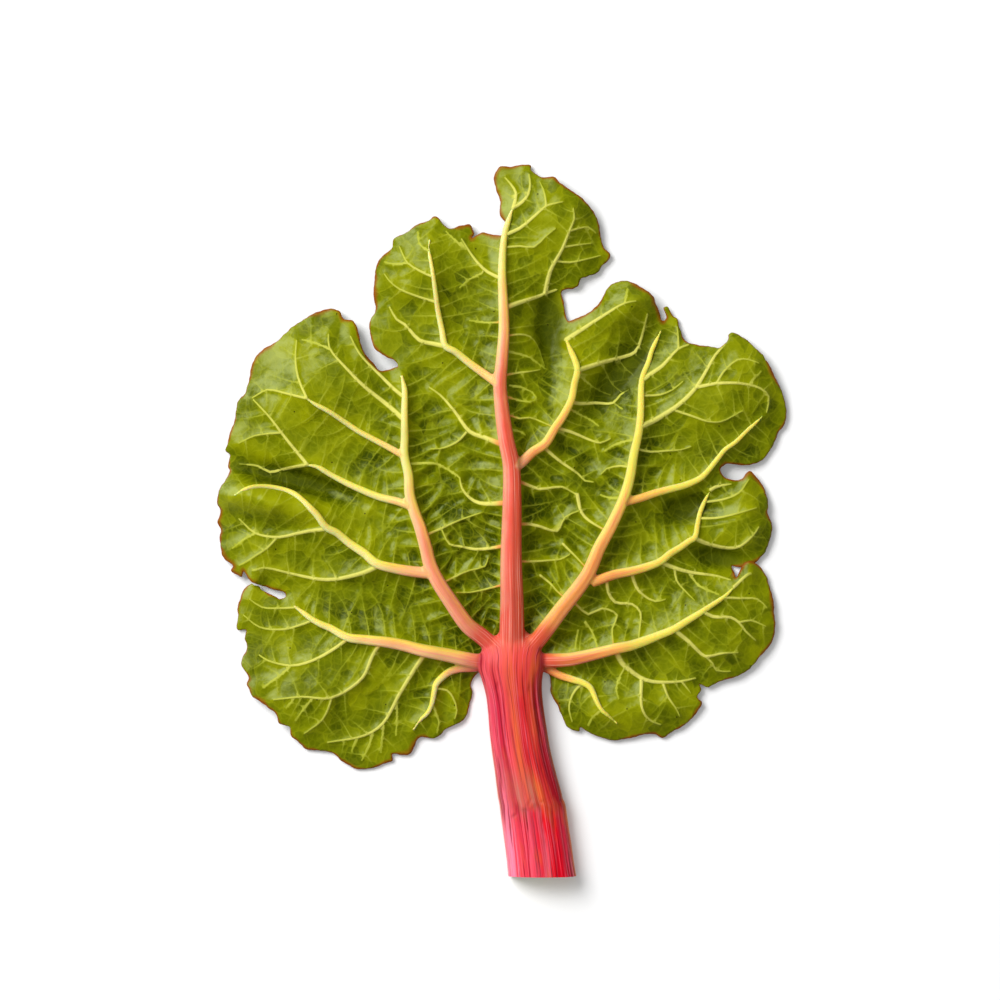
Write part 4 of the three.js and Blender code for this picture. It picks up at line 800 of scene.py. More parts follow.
def towards_neighbours(values: np.ndarray, edges: np.ndarray) -> np.ndarray:
    """What leads from each vertex's value to the mean of its neighbours'.

    Args:
        values: n x d.
        edges: m x 2 vertex numbers.

    Returns:
        n x d.
    """
    a, b = edges.T
    count = np.bincount(edges.ravel(), minlength=len(values))
    total = [
        np.bincount(a, column[b], len(values)) + np.bincount(b, column[a], len(values))
        for column in values.T
    ]
    return np.stack(total, axis=1) / np.maximum(count, 1)[:, None] - values


def blurred(points: np.ndarray, values: np.ndarray, cell: float, radius: float) -> np.ndarray:
    """Mean of the values round each point: sums on a square grid, spread by a Gaussian, over its counts.

    Args:
        points: n x 2 places in mm.
        values: n values.
        cell: size of a grid square in mm.
        radius: the Gaussian's deviation in mm.

    Returns:
        n values.
    """
    at = (points - points.min(0)) / cell + 0.5
    shape = tuple(np.ceil(at.max(0)).astype(int) + 2)
    flat = np.ravel_multi_index(np.round(at).astype(int).T, shape)
    offsets = np.arange(-int(3 * radius / cell), int(3 * radius / cell) + 1)
    bell = np.exp(-((offsets * cell / radius) ** 2) / 2)
    fields = []
    for weight in (values, np.ones(len(values))):
        grid = np.bincount(flat, weight, np.prod(shape)).reshape(shape)
        for axis in (0, 1):
            grid = np.apply_along_axis(np.convolve, axis, grid, bell, "same")
        fields.append(grid)
    mean = fields[0] / np.maximum(fields[1], 1e-9)
    corner = np.floor(at).astype(int)
    part = at - corner
    total = np.zeros(len(points))
    for i in (0, 1):
        for j in (0, 1):
            share = np.abs(1 - i - part[:, 0]) * np.abs(1 - j - part[:, 1])
            total += share * mean[corner[:, 0] + i, corner[:, 1] + j]
    return total


class Face(Enum):
    """The blade's material slots, one for each face; the underside lies uppermost."""

    UNDERSIDE = 0
    UPPER_SIDE = 1


# ---------------------------------------- the blade's form


@dataclass
class Network:
    """Small side veins that grow off larger ones, square to them and leaning forwards, until they meet
    another vein or the margin. They look ahead on a raster of the plan that holds what is there already."""

    ring: np.ndarray  # the margin
    cell: float = 0.4  # mm, the raster's squares
    step: float = 0.9  # mm that a vein grows at a time
    seed: int = 5
    border: float = 4.0  # mm of raster past the margin
    fence: int = 5  # squares along the raster's edges that count as taken
    mark_step: float = 0.3  # mm between the points that mark a vein
    parent_step: float = 0.5  # mm between the places on a parent where a vein may begin
    clear_reaches: tuple = (1.2, 2.0, 2.8, 3.6, 4.4)  # mm ahead that are free where a vein begins
    sight: float = 1.5  # mm that a growing vein looks ahead
    sight_turns: tuple = (-0.7, 0.0, 0.7)  # radians off its heading that it looks to
    bend: float = 0.4  # degrees forwards at each step
    wander: float = 2.2  # degrees of waver at each step
    shortest: int = 3  # steps

    def __post_init__(self) -> None:
        """Lays out the raster, with its edges and the margin marked as vein 1."""
        self.random = np.random.default_rng(self.seed)
        self.low = self.ring.min(0) - self.border
        size = np.ceil((self.ring.max(0) + self.border - self.low) / self.cell).astype(int)
        self.taken = np.zeros(size, int)
        for side in (self.taken, self.taken.T):
            side[: self.fence] = side[-self.fence :] = 1
        self.count = 1
        closed = np.concatenate([self.ring, self.ring[:1]])
        self.mark(resampled(closed, self.mark_step), 1)

    def mark(self, points: np.ndarray, owner: np.ndarray | int) -> None:
        """Writes a vein's number into the squares at and beside some points."""
        for shift in ((0, 0), (0.5, 0), (-0.5, 0), (0, 0.5), (0, -0.5)):
            row, column = ((points - self.low) / self.cell + shift).astype(int).T
            self.taken[row, column] = owner

    def at(self, points: np.ndarray) -> np.ndarray:
        """Number of the vein at each point, or 0."""
        return self.taken[tuple(((points - self.low) / self.cell).astype(int).T)]

    def plant(self, lines: list, widths: list) -> int:
        """Marks veins that stand already, over their full widths.

        Args:
            lines: their paths, m x 2 each.
            widths: (start, end) width of each, in mm.

        Returns:
            The number of the first one; the others follow.
        """
        first = self.count + 1
        for line, (start, end) in zip(lines, widths):
            self.count += 1
            fine = resampled(line, self.mark_step)
            half = np.linspace(start, end, len(fine))[:, None] / 2
            for share in (-1, -0.5, 0, 0.5, 1):
                self.mark(fine + side_normals(fine) * half * share, self.count)
        return first

    def grow(
        self, lines: list, widths: list, first: int, spacing: float, longest: float, lean: float
    ) -> list:
        """Grows side veins off both sides of each line, all at once.

        A vein's heading turns a little forwards and wavers; it ends where it meets a square that is taken.

        Args:
            lines: the parents' paths, m x 2 each.
            widths: (start, end) width of each, in mm.
            first: number of the first parent.
            spacing: mean distance between side veins on one side.
            longest: mm.
            lean: degrees forward of square.

        Returns:
            The new paths.
        """
        tips, headings, sides, parents = [], [], [], []
        for number, (line, (start, end)) in enumerate(zip(lines, widths)):
            fine = resampled(line, self.parent_step)
            way = np.gradient(fine, axis=0)
            right = side_normals(fine)
            length = self.parent_step * (len(fine) - 1)
            for side in (-1, 1):
                places = np.arange(self.random.uniform(0.4, 1.0) * spacing, length - 1.5, spacing)
                places = places + self.random.uniform(-0.2, 0.2, len(places)) * spacing
                k = np.clip((places / self.parent_step).astype(int), 0, len(fine) - 1)
                half = (start + (end - start) * k / len(fine)) / 2
                tips.append(fine[k] + side * right[k] * half[:, None])
                turn = np.radians(lean + self.random.uniform(-9, 9, len(k)))
                headings.append(np.arctan2(way[k, 1], way[k, 0]) - side * (np.pi / 2 - turn))
                sides.append(np.full(len(k), side))
                parents.append(np.full(len(k), first + number))
        tip, heading = np.concatenate(tips), np.concatenate(headings)
        side, parent = np.concatenate(sides), np.concatenate(parents)
        own = self.count + 1 + np.arange(len(tip))
        self.count += len(tip)
        ahead = np.stack([np.cos(heading), np.sin(heading)], 1)
        alive = is_inside(tip, self.ring)
        for reach in self.clear_reaches:
            found = self.at(tip + reach * ahead)
            alive &= (found == 0) | (found == parent)
        paths = [tip]
        ends = np.where(alive, int(longest / self.step), 0)
        waver = self.random.uniform(-1, 1, len(tip))
        for k in range(int(longest / self.step)):
            waver = 0.8 * waver + 0.6 * self.random.uniform(-1, 1, len(tip))
            heading = heading + np.radians(self.bend) * side + np.radians(self.wander) * waver
            ahead = np.stack([np.cos(heading), np.sin(heading)], 1)
            middle = tip + 0.5 * self.step * ahead
            tip = np.where(alive[:, None], tip + self.step * ahead, tip)
            met = np.zeros(len(tip), bool)
            for turn in self.sight_turns:
                seen = np.stack([np.cos(heading + turn), np.sin(heading + turn)], 1)
                found = self.at(tip + self.sight * seen)
                met |= alive & (found != 0) & (found != own) & (found != parent)
            self.mark(middle[alive & ~met], own[alive & ~met])
            self.mark(tip[alive & ~met], own[alive & ~met])
            ends = np.where(met, k + 1, ends)
            alive &= ~met
            paths.append(tip)
        paths = np.stack(paths, axis=1)
        return [path[: end + 1] for path, end in zip(paths, ends) if end >= self.shortest]


class Relief:
    """Height of the leaf's underside, which lies uppermost, above the surface, in mm."""

    THICKNESS = 1.1  # of the solid; the fine blade's upper height is kept
    SOFTNESS = 1.5  # how gently the blade comes down on the surface
    DOME = Swell(-5, 85, 110, 110, 0, 11)
    CURL = 1.3  # how far the margin turns down
    CURL_WIDTH = 5.0
    GENTLE = 0.14  # slope of the tissue that sinks between veins, in the smooth lobes
    STEEP = 0.8  # how much steeper it is beside the ribs where the leaf is crumpled
    STEEP_WIDTH = 24.0
    SLACK = 3.6  # mm from a vein over which the tissue sinks
    CRUMPLED = Swell(-2, 62, 80, 85, 0, 1)  # where the blade is most crumpled
    VALLEY = 0.24  # slope of the valleys between ribs and drawn veins, in the crumpled part
    VALLEY_WIDTH = 9.0
    MAIN_RIBS = 5  # the midrib and the four side ribs
    PUCKER = 3.2  # depth of the crumples that run off the main ribs
    PUCKER_STEP = (7.0, 30.0)  # mm along a rib and away from it
    PUCKER_WIDTH = 15.0  # mm over which they fade away from a rib
    PUCKER_SLANT = 0.4  # mm along a rib for each mm away from it
    SIDE_WIDTHS = (0.8, 0.3)
    LINK_WIDTHS = (0.55, 0.35)
    OFF_RIBS = (7.4, 26, 14)  # mm between grown veins, mm of the longest, and degrees forward of square
    OFF_VEINS = (12.5, 18, 24)
    OFF_SIDE_VEINS = (12.0, 10, 8)
    BOLDNESS = [1.0, 0.52, 0.28]  # of drawn veins, side veins and links

    def __init__(self) -> None:
        """Measures the margin and the drawn veins, and grows the finer ones."""
        self.ring = smooth_curve(MARGIN, 3.0, closed=True)
        self.margin = Strands([np.concatenate([self.ring, self.ring[:1]])], [(0, 0)])
        self.ribs = Strands.of_veins(RIBS)
        self.main_ribs = Strands.of_veins(RIBS[: self.MAIN_RIBS])
        self.each_rib = [Strands.of_veins([rib]) for rib in RIBS[: self.MAIN_RIBS]]
        self.veins = Strands.of_veins(VEINS + THIN_VEINS)
        self.drawn = Strands.of_veins(RIBS + VEINS)
        drawn = RIBS + VEINS + THIN_VEINS
        lines = [smooth_curve(vein.path, Strands.PIECE) for vein in drawn]
        widths = [(vein.start_width, vein.end_width) for vein in drawn]
        network = Network(self.ring)
        first = network.plant(lines, widths)
        count = len(RIBS)
        self.side_veins = network.grow(lines[:count], widths[:count], first, *self.OFF_RIBS)
        self.side_veins += network.grow(lines[count:], widths[count:], first + count, *self.OFF_VEINS)
        side_widths = [self.SIDE_WIDTHS] * len(self.side_veins)
        first = network.plant(self.side_veins, side_widths)
        self.links = network.grow(self.side_veins, side_widths, first, *self.OFF_SIDE_VEINS)
        small = lines[count:] + self.side_veins
        small_widths = widths[count:] + side_widths
        counts = [len(small) - len(self.side_veins), len(self.side_veins), len(self.links)]
        self.bold = np.repeat(self.BOLDNESS, counts)
        self.small = Strands(small + self.links, small_widths + [self.LINK_WIDTHS] * len(self.links))
        self.framework = Strands(lines + self.side_veins, widths + side_widths)

    def sag(self, points: np.ndarray) -> np.ndarray:
        """How far the tissue sinks between the veins that hold it, in nearly flat facets that meet in
        creases: slope * SLACK * (1 - exp(-flank gap / SLACK)), steepest beside the main ribs where the leaf
        is crumpled. Wider valleys of the same form lie between the ribs and drawn veins there.

        Args:
            points: n x 2 places in mm.

        Returns:
            n heights in mm, 0 or less.
        """
        vein = self.framework.nearest(points, by_flank=True)
        flank = np.clip(vein["gap"] - vein["width"] / 2, 0, None)
        rib = self.main_ribs.nearest(points, by_flank=True)
        beside = np.clip(rib["gap"] - rib["width"] / 2, 0, None)
        slope = self.GENTLE + self.STEEP * self.CRUMPLED.share(points) * np.exp(-beside / self.STEEP_WIDTH)
        slope = slope * (1 + 0.5 * noise(points, 16.0, 9))
        drawn = self.drawn.nearest(points, by_flank=True)
        wide = np.clip(drawn["gap"] - drawn["width"] / 2, 0, None)
        valley = self.VALLEY * self.CRUMPLED.share(points) * self.VALLEY_WIDTH
        return (
            -slope * self.SLACK * (1 - np.exp(-flank / self.SLACK))
            - valley * (1 - np.exp(-wide / self.VALLEY_WIDTH))
        )

    def pucker(self, points: np.ndarray) -> np.ndarray:
        """Crumples square to the main ribs: round hollows with sharp crests between them, -|noise| over the
        run along a rib and the distance from it, fading with that distance and out in the smooth lobes.

        Args:
            points: n x 2 places in mm.

        Returns:
            n heights in mm, 0 or less.
        """
        total = np.zeros(len(points))
        weights = np.full(len(points), 0.25)
        bend = 2.5 * noise(points, 14.0, 40)
        for number, rib in enumerate(self.each_rib):
            at = rib.nearest(points)
            off = at["gap"] / self.PUCKER_STEP[1] + np.where(at["right"] > 0, 31.0, 0.0)
            slanted = at["run"] + bend - self.PUCKER_SLANT * at["gap"]
            place = np.stack([slanted / self.PUCKER_STEP[0], off], axis=1)
            crest = np.abs(noise(place, 1.0, 50 + number))
            crest = crest + 0.3 * np.abs(noise(place * 2.1, 1.0, 60 + number))
            weight = np.exp(-((at["gap"] / self.PUCKER_WIDTH) ** 1.5))
            total += weight * crest * smoothstep(at["gap"] - at["width"] / 2, 0.3, 3.5)
            weights += weight
        return -self.PUCKER * self.CRUMPLED.share(points) * total / weights

    def height(self, points: np.ndarray) -> np.ndarray:
        """Height of the face that lies uppermost: a dome, swells and folds, drawn up along ribs and veins
        and turned down at the margin, all lifted smoothly to stay above the surface.

        Args:
            points: n x 2 places in mm.

        Returns:
            n heights in mm.
        """
        free = sum(swell.height * swell.share(points) for swell in (self.DOME, *SWELLS))
        free -= self.CURL * np.exp(-self.margin.nearest(points)["gap"] / self.CURL_WIDTH)
        free += self.ribs.tent(points) + self.veins.tent(points)
        free += self.sag(points) + self.pucker(points)
        free += (0.5 + 0.5 * self.CRUMPLED.share(points)) * noise(points, 10.0, 7)
        free -= 0.4 * np.abs(noise(points, 7.5, 8))
        return self.THICKNESS + (free + np.hypot(free, self.SOFTNESS)) / 2

    def fold(self, points: np.ndarray) -> np.ndarray:
        """How deep in one of the named folds each point lies, 0 to 1."""
        folds = [swell for swell in SWELLS[1:] if swell.height < 0]
        return np.max([swell.share(points) for swell in folds], axis=0)


@dataclass
class Blade:
    """The leaf's blade as one closed mesh: a fine face uppermost, a coarser one below, and a rim."""

    relief: Relief
    fine: float = 1.1  # mm, lattice of the upper-lying face
    margin_step: float = 0.8
    vein_step: float = 0.95
    below: float = 2.0  # mm, lattice of the lower face
    rim: float = 0.5  # mm thick at the margin
    thickness: float = 0.95  # mm thick inside
    middle_painted_shade: float = 1.0  # mm by which the crumpled middle counts as deeper, so that it is painted darker as shade
    crest: float = 0.34  # a vein stands this share of its width above the blade

    def loop(self) -> np.ndarray:
        """The margin at full detail, crenated by two waves of noise along it, 0.3 and 0.25 mm high."""
        line = smooth_curve(MARGIN, self.margin_step, closed=True)
        run = run_length(line)
        wave = np.stack([run, np.zeros(len(run))], axis=1)
        teeth = 0.3 * noise(wave, 2.8, 3) + 0.25 * noise(wave, 6.5, 4)
        return line + side_normals(line) * teeth[:, None]

    def lattice(self, step: float) -> np.ndarray:
        """A hexagonal lattice over the margin's box.

        Args:
            step: mm between its points.

        Returns:
            n x 2 places in mm.
        """
        low, high = self.relief.ring.min(0), self.relief.ring.max(0)
        rows = int((high[1] - low[1]) / (step * 0.866))
        columns = int((high[0] - low[0]) / step) + 1
        row, column = np.divmod(np.arange(rows * columns), columns)
        x = low[0] + (column + row % 2 / 2) * step
        return np.stack([x, low[1] + row * step * 0.866], axis=1)

    def vein_points(self, step: float, fully: bool) -> np.ndarray:
        """Rows of points along the veins.

        Args:
            step: mm between points.
            fully: without the ribs, but with a row on each flank of a wider vein, and the thin links.

        Returns:
            n x 2 points in mm.
        """
        rows = []
        for vein in (VEINS if fully else RIBS + VEINS) + THIN_VEINS:
            line = smooth_curve(vein.path, step)
            half = np.linspace(vein.start_width, vein.end_width, len(line))[:, None] / 2
            shares = (-1, 0, 1) if vein.start_width > (1 if fully else 4) else (0,)
            rows += [line + side_normals(line) * half * share for share in shares]
        rows += [resampled(line, step) for line in self.relief.side_veins]
        if fully:
            rows += [resampled(line, step) for line in self.relief.links]
        return np.concatenate(rows)

    def plan(self, face: "Face", loop: np.ndarray) -> tuple:
        """The points of a face and its triangles, all inside the margin, which they share.

        Args:
            face: which face of the leaf.
            loop: the margin, m x 2.

        Returns:
            n x 2 points, the margin's first, and k x 3 corners.
        """
        relief = self.relief
        on_top = face is Face.UNDERSIDE
        points = self.lattice(self.fine if on_top else self.below)
        points = points[is_inside(points, relief.ring)]
        vein = (relief.small if on_top else relief.framework).nearest(points, by_flank=True)
        flank = vein["gap"] - vein["width"] / 2
        edge = relief.margin.nearest(points)["gap"]
        points = points[(edge > self.fine / 2) & (flank > (0.42 if on_top else 0.75))]
        rows = self.vein_points(self.vein_step if on_top else self.below, on_top)
        rows = rows[is_inside(rows, relief.ring)]
        rows = rows[relief.margin.nearest(rows)["gap"] > 0.6]
        points = np.concatenate([loop, thinned(np.concatenate([rows, points]), 0.3)])
        rim = list(range(len(loop)))
        edges = list(zip(rim, rim[1:] + rim[:1]))
        made = delaunay_2d_cdt(points.tolist(), edges, [rim], 1, 1e-4)
        return np.array([tuple(p) for p in made[0]]), np.array(made[2])

    def surface(self, face: "Face", loop: np.ndarray) -> tuple:
        """A face of the leaf in space, with what its finish needs at each point.

        The face that lies uppermost has the relief's height, plus, on a vein, crest * width *
        sqrt(1 - (2 gap / width)^2). The other lies under it by the thickness, which grows from the rim.

        Args:
            face: which face of the leaf.
            loop: the margin, m x 2.

        Returns:
            n x 3 points in mm, k x 3 corners, and the attributes by name.
        """
        relief = self.relief
        plan, corners = self.plan(face, loop)
        level = relief.height(plan)
        edge = relief.margin.nearest(plan)["gap"]
        vein = relief.small.nearest(plan, by_flank=True)
        rib = relief.ribs.nearest(plan, by_flank=True)
        beside = np.clip(rib["gap"] - rib["width"] / 2, 0, None)
        offset = vein["gap"] / vein["width"]
        if face is Face.UNDERSIDE:
            level = level + self.crest * vein["width"] * np.sqrt(np.clip(1 - 4 * offset**2, 0, 1))
        else:
            level = level - self.rim - (self.thickness - self.rim) * smoothstep(edge, 0, 6)
        shift = sum(overlap.carry(plan) for overlap in OVERLAPS)
        length = np.array([rib.blush for rib in RIBS])[rib["owner"].astype(int)]
        root = np.array([rib.root_blush for rib in RIBS])[rib["owner"].astype(int)]
        bold = relief.bold[vein["owner"].astype(int)] * smoothstep(vein["width"], 0.1, 0.8)
        fold = relief.fold(plan)
        redness = faded(rib["run"], length, root)
        near = np.exp(-beside / 2.2) * (vein["owner"] < len(VEINS))
        on_rib = np.clip(1 - 2.2 * rib["gap"] / rib["width"], 0, 1) * (face is Face.UPPER_SIDE)
        # thin veins are dimmed in the named folds, so that the painted shade there covers them too
        in_fold = smoothstep(fold, 0.2, 0.6) * (vein["width"] < 0.9)
        attributes = {
            "vein": np.maximum(np.clip(1 - offset, 0, 1), on_rib),
            "bold": np.maximum(bold * (1 - 0.7 * in_fold), on_rib > 0),
            "pale": np.maximum(smoothstep(vein["width"], 0.35, 1.7), on_rib > 0),
            "rim": edge,
            "fold": fold,
            "blush": redness * np.maximum(near, on_rib > 0),
            # painted shade and light: mm below the surroundings, so the tissue is toned darker in hollows
            # and in the crumpled middle and lighter on crests
            "hollow_painted_shade": (level - blurred(plan, level, 1.5, 5.0)) * smoothstep(edge, 0, 9)
            - self.middle_painted_shade * relief.CRUMPLED.share(plan),
        }
        return np.column_stack([plan, level]) + shift, corners, attributes

    def build(self, origin: np.ndarray, finishes: list) -> bpy.types.Object:
        """Both faces and the rim between them as one closed piece.

        Args:
            origin: place of the drawing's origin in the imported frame, in mm.
            finishes: the materials, one for each Face.

        Returns:
            The piece.
        """
        loop = self.loop()
        over, over_corners, over_values = self.surface(Face.UNDERSIDE, loop)
        under, under_corners, under_values = self.surface(Face.UPPER_SIDE, loop)
        over_corners = facing(over, over_corners, up=True)
        under_corners = facing(under, under_corners, up=False) + len(over)
        k = np.arange(len(loop))
        a, b = k, (k + 1) % len(loop)
        c, d = b + len(over), a + len(over)
        turned = signed_area(loop) > 0
        rim = np.concatenate([np.stack([a, d, c], 1), np.stack([a, c, b], 1)])
        rim = rim if turned else rim[:, ::-1]
        piece = make_piece("leaf_blade_skin", np.concatenate([over, under]) + origin,
                           np.concatenate([over_corners, under_corners, rim]))
        for name, values in over_values.items():
            add_attribute(piece, name, np.concatenate([values, under_values[name]]))
        for finish in finishes:
            piece.data.materials.append(finish)
        slots = np.repeat([Face.UNDERSIDE.value, Face.UPPER_SIDE.value, Face.UNDERSIDE.value],
                          [len(over_corners), len(under_corners), len(rim)])
        piece.data.polygons.foreach_set("material_index", slots.astype(np.int32))
        return piece


# ---------------------------------------- the stalk and the ribs


def faded(run: np.ndarray, length: np.ndarray, root: np.ndarray) -> np.ndarray:
    """Redness that stays near its root value and then falls away: root * (1 - (run / length)^4)."""
    return root * (1 - np.clip(run / length, 0, 1) ** 4)


@dataclass
class Stalk:
    """The stalk with the midrib and the side ribs as one closed mesh, joined in voxels and smoothed."""

    relief: Relief
    step: float = 1.0  # mm between rings
    voxel: float = 0.67  # mm; a finer one gives over 200,000 triangles
    ridges: int = 9
    ridge_depth: float = 0.5
    roundness: float = 0.72  # below 1 the sides stand steeper than a circle's
    rib_height: float = 0.45  # share of its width that a rib stands above the blade
    rib_roundness: float = 0.5
    embedded: float = 0.5  # mm that a rib reaches into the blade
    taper: float = 9.0  # mm before its end from which a rib narrows and sinks
    tip_share: float = 0.56  # of its width that a rib keeps at its end
    thinnest: float = 1.0
    sunk_tip: float = 0.45
    evenness: float = 6.0  # mm to each side over which a rib's height is averaged
    cut: float = -110.2  # y of the cut end
    overrun: float = 3.0  # mm of stalk made past the cut, then cut off
    kink: float = -76.0  # y where the stalk has been bent
    shaded_flank_redness: float = 0.45  # how much redder a rib is along its lower flank, which faces away from the key light: partly its own colour, partly painted shade
    lee_turned: tuple = (0.87, 0.5)  # the way that a rib runs whose right flank faces down and right
    head: tuple = (0.0, 0.0, 15.0)  # where the ribs part, which is smoothed further
    head_radius: float = 14.0
    head_rounds: int = 23
    head_share: float = 0.6
    rounds: int = 6  # of smoothing, each inwards and then a little further outwards, so nothing shrinks
    inwards: float = 0.5
    outwards: float = 0.52

    def stations(self) -> np.ndarray:
        """Rows y, left, right, under, top, closely spaced from past the cut end to the head."""
        rows = np.array(STALK_STATIONS + HEAD_STATIONS, float)
        first = rows[0] + (rows[0] - rows[1]) * self.overrun / (rows[1, 0] - rows[0, 0])
        return smooth_curve(np.concatenate([first[None], rows]), self.step)

    def body(self) -> tuple:
        """The stalk: rings of x = middle + half cos t and z = under + tall (0.18 + 0.82 sin^0.72 t), flat
        below.

        Returns:
            points in mm and triangles.
        """
        y, left, right, under, top = self.stations().T[..., None]
        middle, half, tall = (left + right) / 2, (right - left) / 2, top - under
        t = np.linspace(0, np.pi, 97)
        x = middle + half * np.cos(t)
        z = under + tall * (0.18 + 0.82 * np.sin(t).clip(0) ** self.roundness)
        foot = np.array([-0.98, -0.94, -0.82, 0.82, 0.94, 0.98])
        lift = np.array([1.4, 0.6, 0, 0, 0.6, 1.4])
        x = np.hstack([x, middle + half * foot])
        z = np.hstack([z, under + lift])
        return loft(np.stack([x, np.broadcast_to(y, x.shape), z], axis=2))

    def rib(self, vein: Vein) -> tuple:
        """A rib: a broad round ridge above the blade along its path, reaching a little into the blade.

        Across the rib, z = blade at the middle + 0.35 - 0.2 w + 0.65 w sin^0.5 t, where w is the rib's width
        and w / 2 cos t the place across it. Over its last 9 mm it narrows to about half and sinks in.

        Args:
            vein: the rib's path and widths.

        Returns:
            points in mm and triangles.
        """
        line = smooth_curve(vein.path, self.step)
        run = run_length(line)
        knots = run_length(smooth_curve(vein.path, 8.0))
        share = np.interp(run / run[-1], knots / knots[-1], np.linspace(0, 1, len(knots)))
        width = (vein.start_width + (vein.end_width - vein.start_width) * share)[:, None]
        ahead = (run[-1] - run)[:, None]
        kept = self.tip_share + 0.44 * smoothstep(ahead, 0, self.taper)
        width = np.maximum(width * kept, self.thinnest)
        t = np.linspace(0, np.pi, 17)
        level = self.evened(self.relief.height(line))[:, None]
        round_top = np.sin(t).clip(0) ** self.rib_roundness
        rise = 0.35 - 0.2 * width + (self.rib_height + 0.2) * width * round_top
        aside = np.hstack([width / 2 * np.cos(t), -width / 2, 0 * width, width / 2])
        place = line[:, None] + aside[..., None] * side_normals(line)[:, None]
        below = self.relief.height(place[:, 17:].reshape(-1, 2)).reshape(len(line), 3) - self.embedded
        height = level + rise - self.sunk_tip * smoothstep(ahead, self.taper, 0)
        height = np.hstack([height, np.minimum(below, height[:, [16, 8, 0]] - 0.4)])
        return loft(np.dstack([place, height]))

    def evened(self, heights: np.ndarray) -> np.ndarray:
        """Heights along a rib, averaged over some mm to each side."""
        reach = int(self.evenness / self.step)
        padded = np.pad(heights, reach, mode="edge")
        return np.convolve(padded, np.ones(2 * reach + 1) / (2 * reach + 1), mode="valid")

    def joined(self) -> tuple:
        """All of it as one skin: lofts overlapped, remeshed in voxels, then smoothed without shrinking.

        Returns:
            n x 3 points in mm, and faces as a list.
        """
        parts = [self.body()] + [self.rib(rib) for rib in RIBS]
        first = np.cumsum([0] + [len(points) for points, _ in parts[:-1]])
        points = np.concatenate([points for points, _ in parts])
        faces = np.concatenate([corners + k for (_, corners), k in zip(parts, first)])
        rough = make_piece("rough", points, faces, scale=1.0)
        remesh = rough.modifiers.new("voxels", "REMESH")
        remesh.mode = "VOXEL"
        remesh.voxel_size = self.voxel
        evaluated = rough.evaluated_get(bpy.context.evaluated_depsgraph_get())
        skin = bpy.data.meshes.new_from_object(evaluated)
        points = read(skin.vertices, "co", 3)
        edges = read(skin.edges, "vertices", 2, int)
        faces = [tuple(polygon.vertices) for polygon in skin.polygons]
        bpy.data.objects.remove(rough)
        bpy.data.meshes.remove(skin)
        for _ in range(self.rounds):
            points = points + self.inwards * towards_neighbours(points, edges)
            points = points - self.outwards * towards_neighbours(points, edges)
        for _ in range(self.head_rounds):
            near = np.exp(-((points - self.head) ** 2).sum(1) / self.head_radius**2)[:, None]
            points = points + self.head_share * near * towards_neighbours(points, edges)
        return points, faces

    def frame_of(self, points: np.ndarray) -> dict:
        """Where each point lies on the stalk or on its nearest rib.

        Args:
            points: n x 3 places in mm.

        Returns:
            across (-1 left to 1 right), side and run in mm on the stalk, the same on the rib, kind (0 on a
            rib, 1 on the stalk), the rib's blush, redder on the flank away from the key light as painted
            shade, warm (0 left of x = 5, 1 right of 14) and the rib's width, n values each.
        """
        y, left, right, _, _ = self.stations().T
        middle = np.interp(points[:, 1], y, (left + right) / 2)
        half = np.interp(points[:, 1], y, (right - left) / 2)
        spread = np.interp(points[:, 1].clip(None, -2), y, (right - left) / 2)
        spread = spread * (1 + 0.03 * points[:, 1].clip(0, 16))
        rib = self.relief.ribs.nearest(points[:, :2], by_flank=True)
        owner = rib["owner"].astype(int)
        length = np.array([rib.blush for rib in RIBS])[owner]
        root = np.array([rib.root_blush for rib in RIBS])[owner]
        off = points[:, 0] - middle
        rib_across = np.clip(2 * rib["right"] / rib["width"], -1, 1)
        ways = np.array([np.subtract(rib.path[-1], rib.path[0]) for rib in RIBS])
        ways /= np.hypot(*ways.T)[:, None]
        flank_away_from_light = rib_across * (ways @ self.lee_turned)[owner]
        at_head = smoothstep(np.hypot(points[:, 0], points[:, 1]), 28, 11)
        return {
            "across": np.clip(off / spread, -1, 1),
            "side": off / spread * 15,
            "run": points[:, 1],
            "rib_across": rib_across,
            "rib_side": rib["right"] + 40.0 * owner,
            "rib_run": rib["run"],
            "kind": smoothstep(points[:, 1], 9, 1) * smoothstep(np.abs(off) - half, 2.5, -1.0),
            # the rib's red, made redder on the flank away from the key light: partly its own colour, partly
            # painted shade
            "blush": faded(rib["run"], length, root) * (1 + self.shaded_flank_redness * flank_away_from_light) + 0.45 * at_head,
            "warm": smoothstep(points[:, 0], 5, 14),
            "width": rib["width"],
        }

    def ridge_wave(self, points: np.ndarray, at: dict) -> np.ndarray:
        """Rounded ridges and narrow grooves lengthwise on the stalk, from about -1 to 1:
        2 |sin(9 t)|^0.8 - 1, where cos t = across, with their places and depths drifting along it and
        shifted at the kink.

        Args:
            points: n x 3 places in mm.
            at: the points' places on the stalk.

        Returns:
            n values.
        """
        t = np.arccos(np.clip(at["across"], -0.999, 0.999))
        drift = 0.1 * noise(np.stack([t * 1.5, points[:, 1] / 45.0], axis=1), 1.0, 11)
        drift = drift + 0.055 * smoothstep(points[:, 1], self.kink + 3, self.kink - 3)
        strength = 0.65 + 0.95 * noise(np.stack([t * 3, points[:, 1] / 50.0], axis=1), 1.0, 13)
        strength = strength.clip(0.12) * (0.2 + 0.8 * smoothstep(points[:, 1], 0, -30))
        return strength * (2 * np.abs(np.sin(self.ridges * (t + drift))) ** 0.8 - 1)

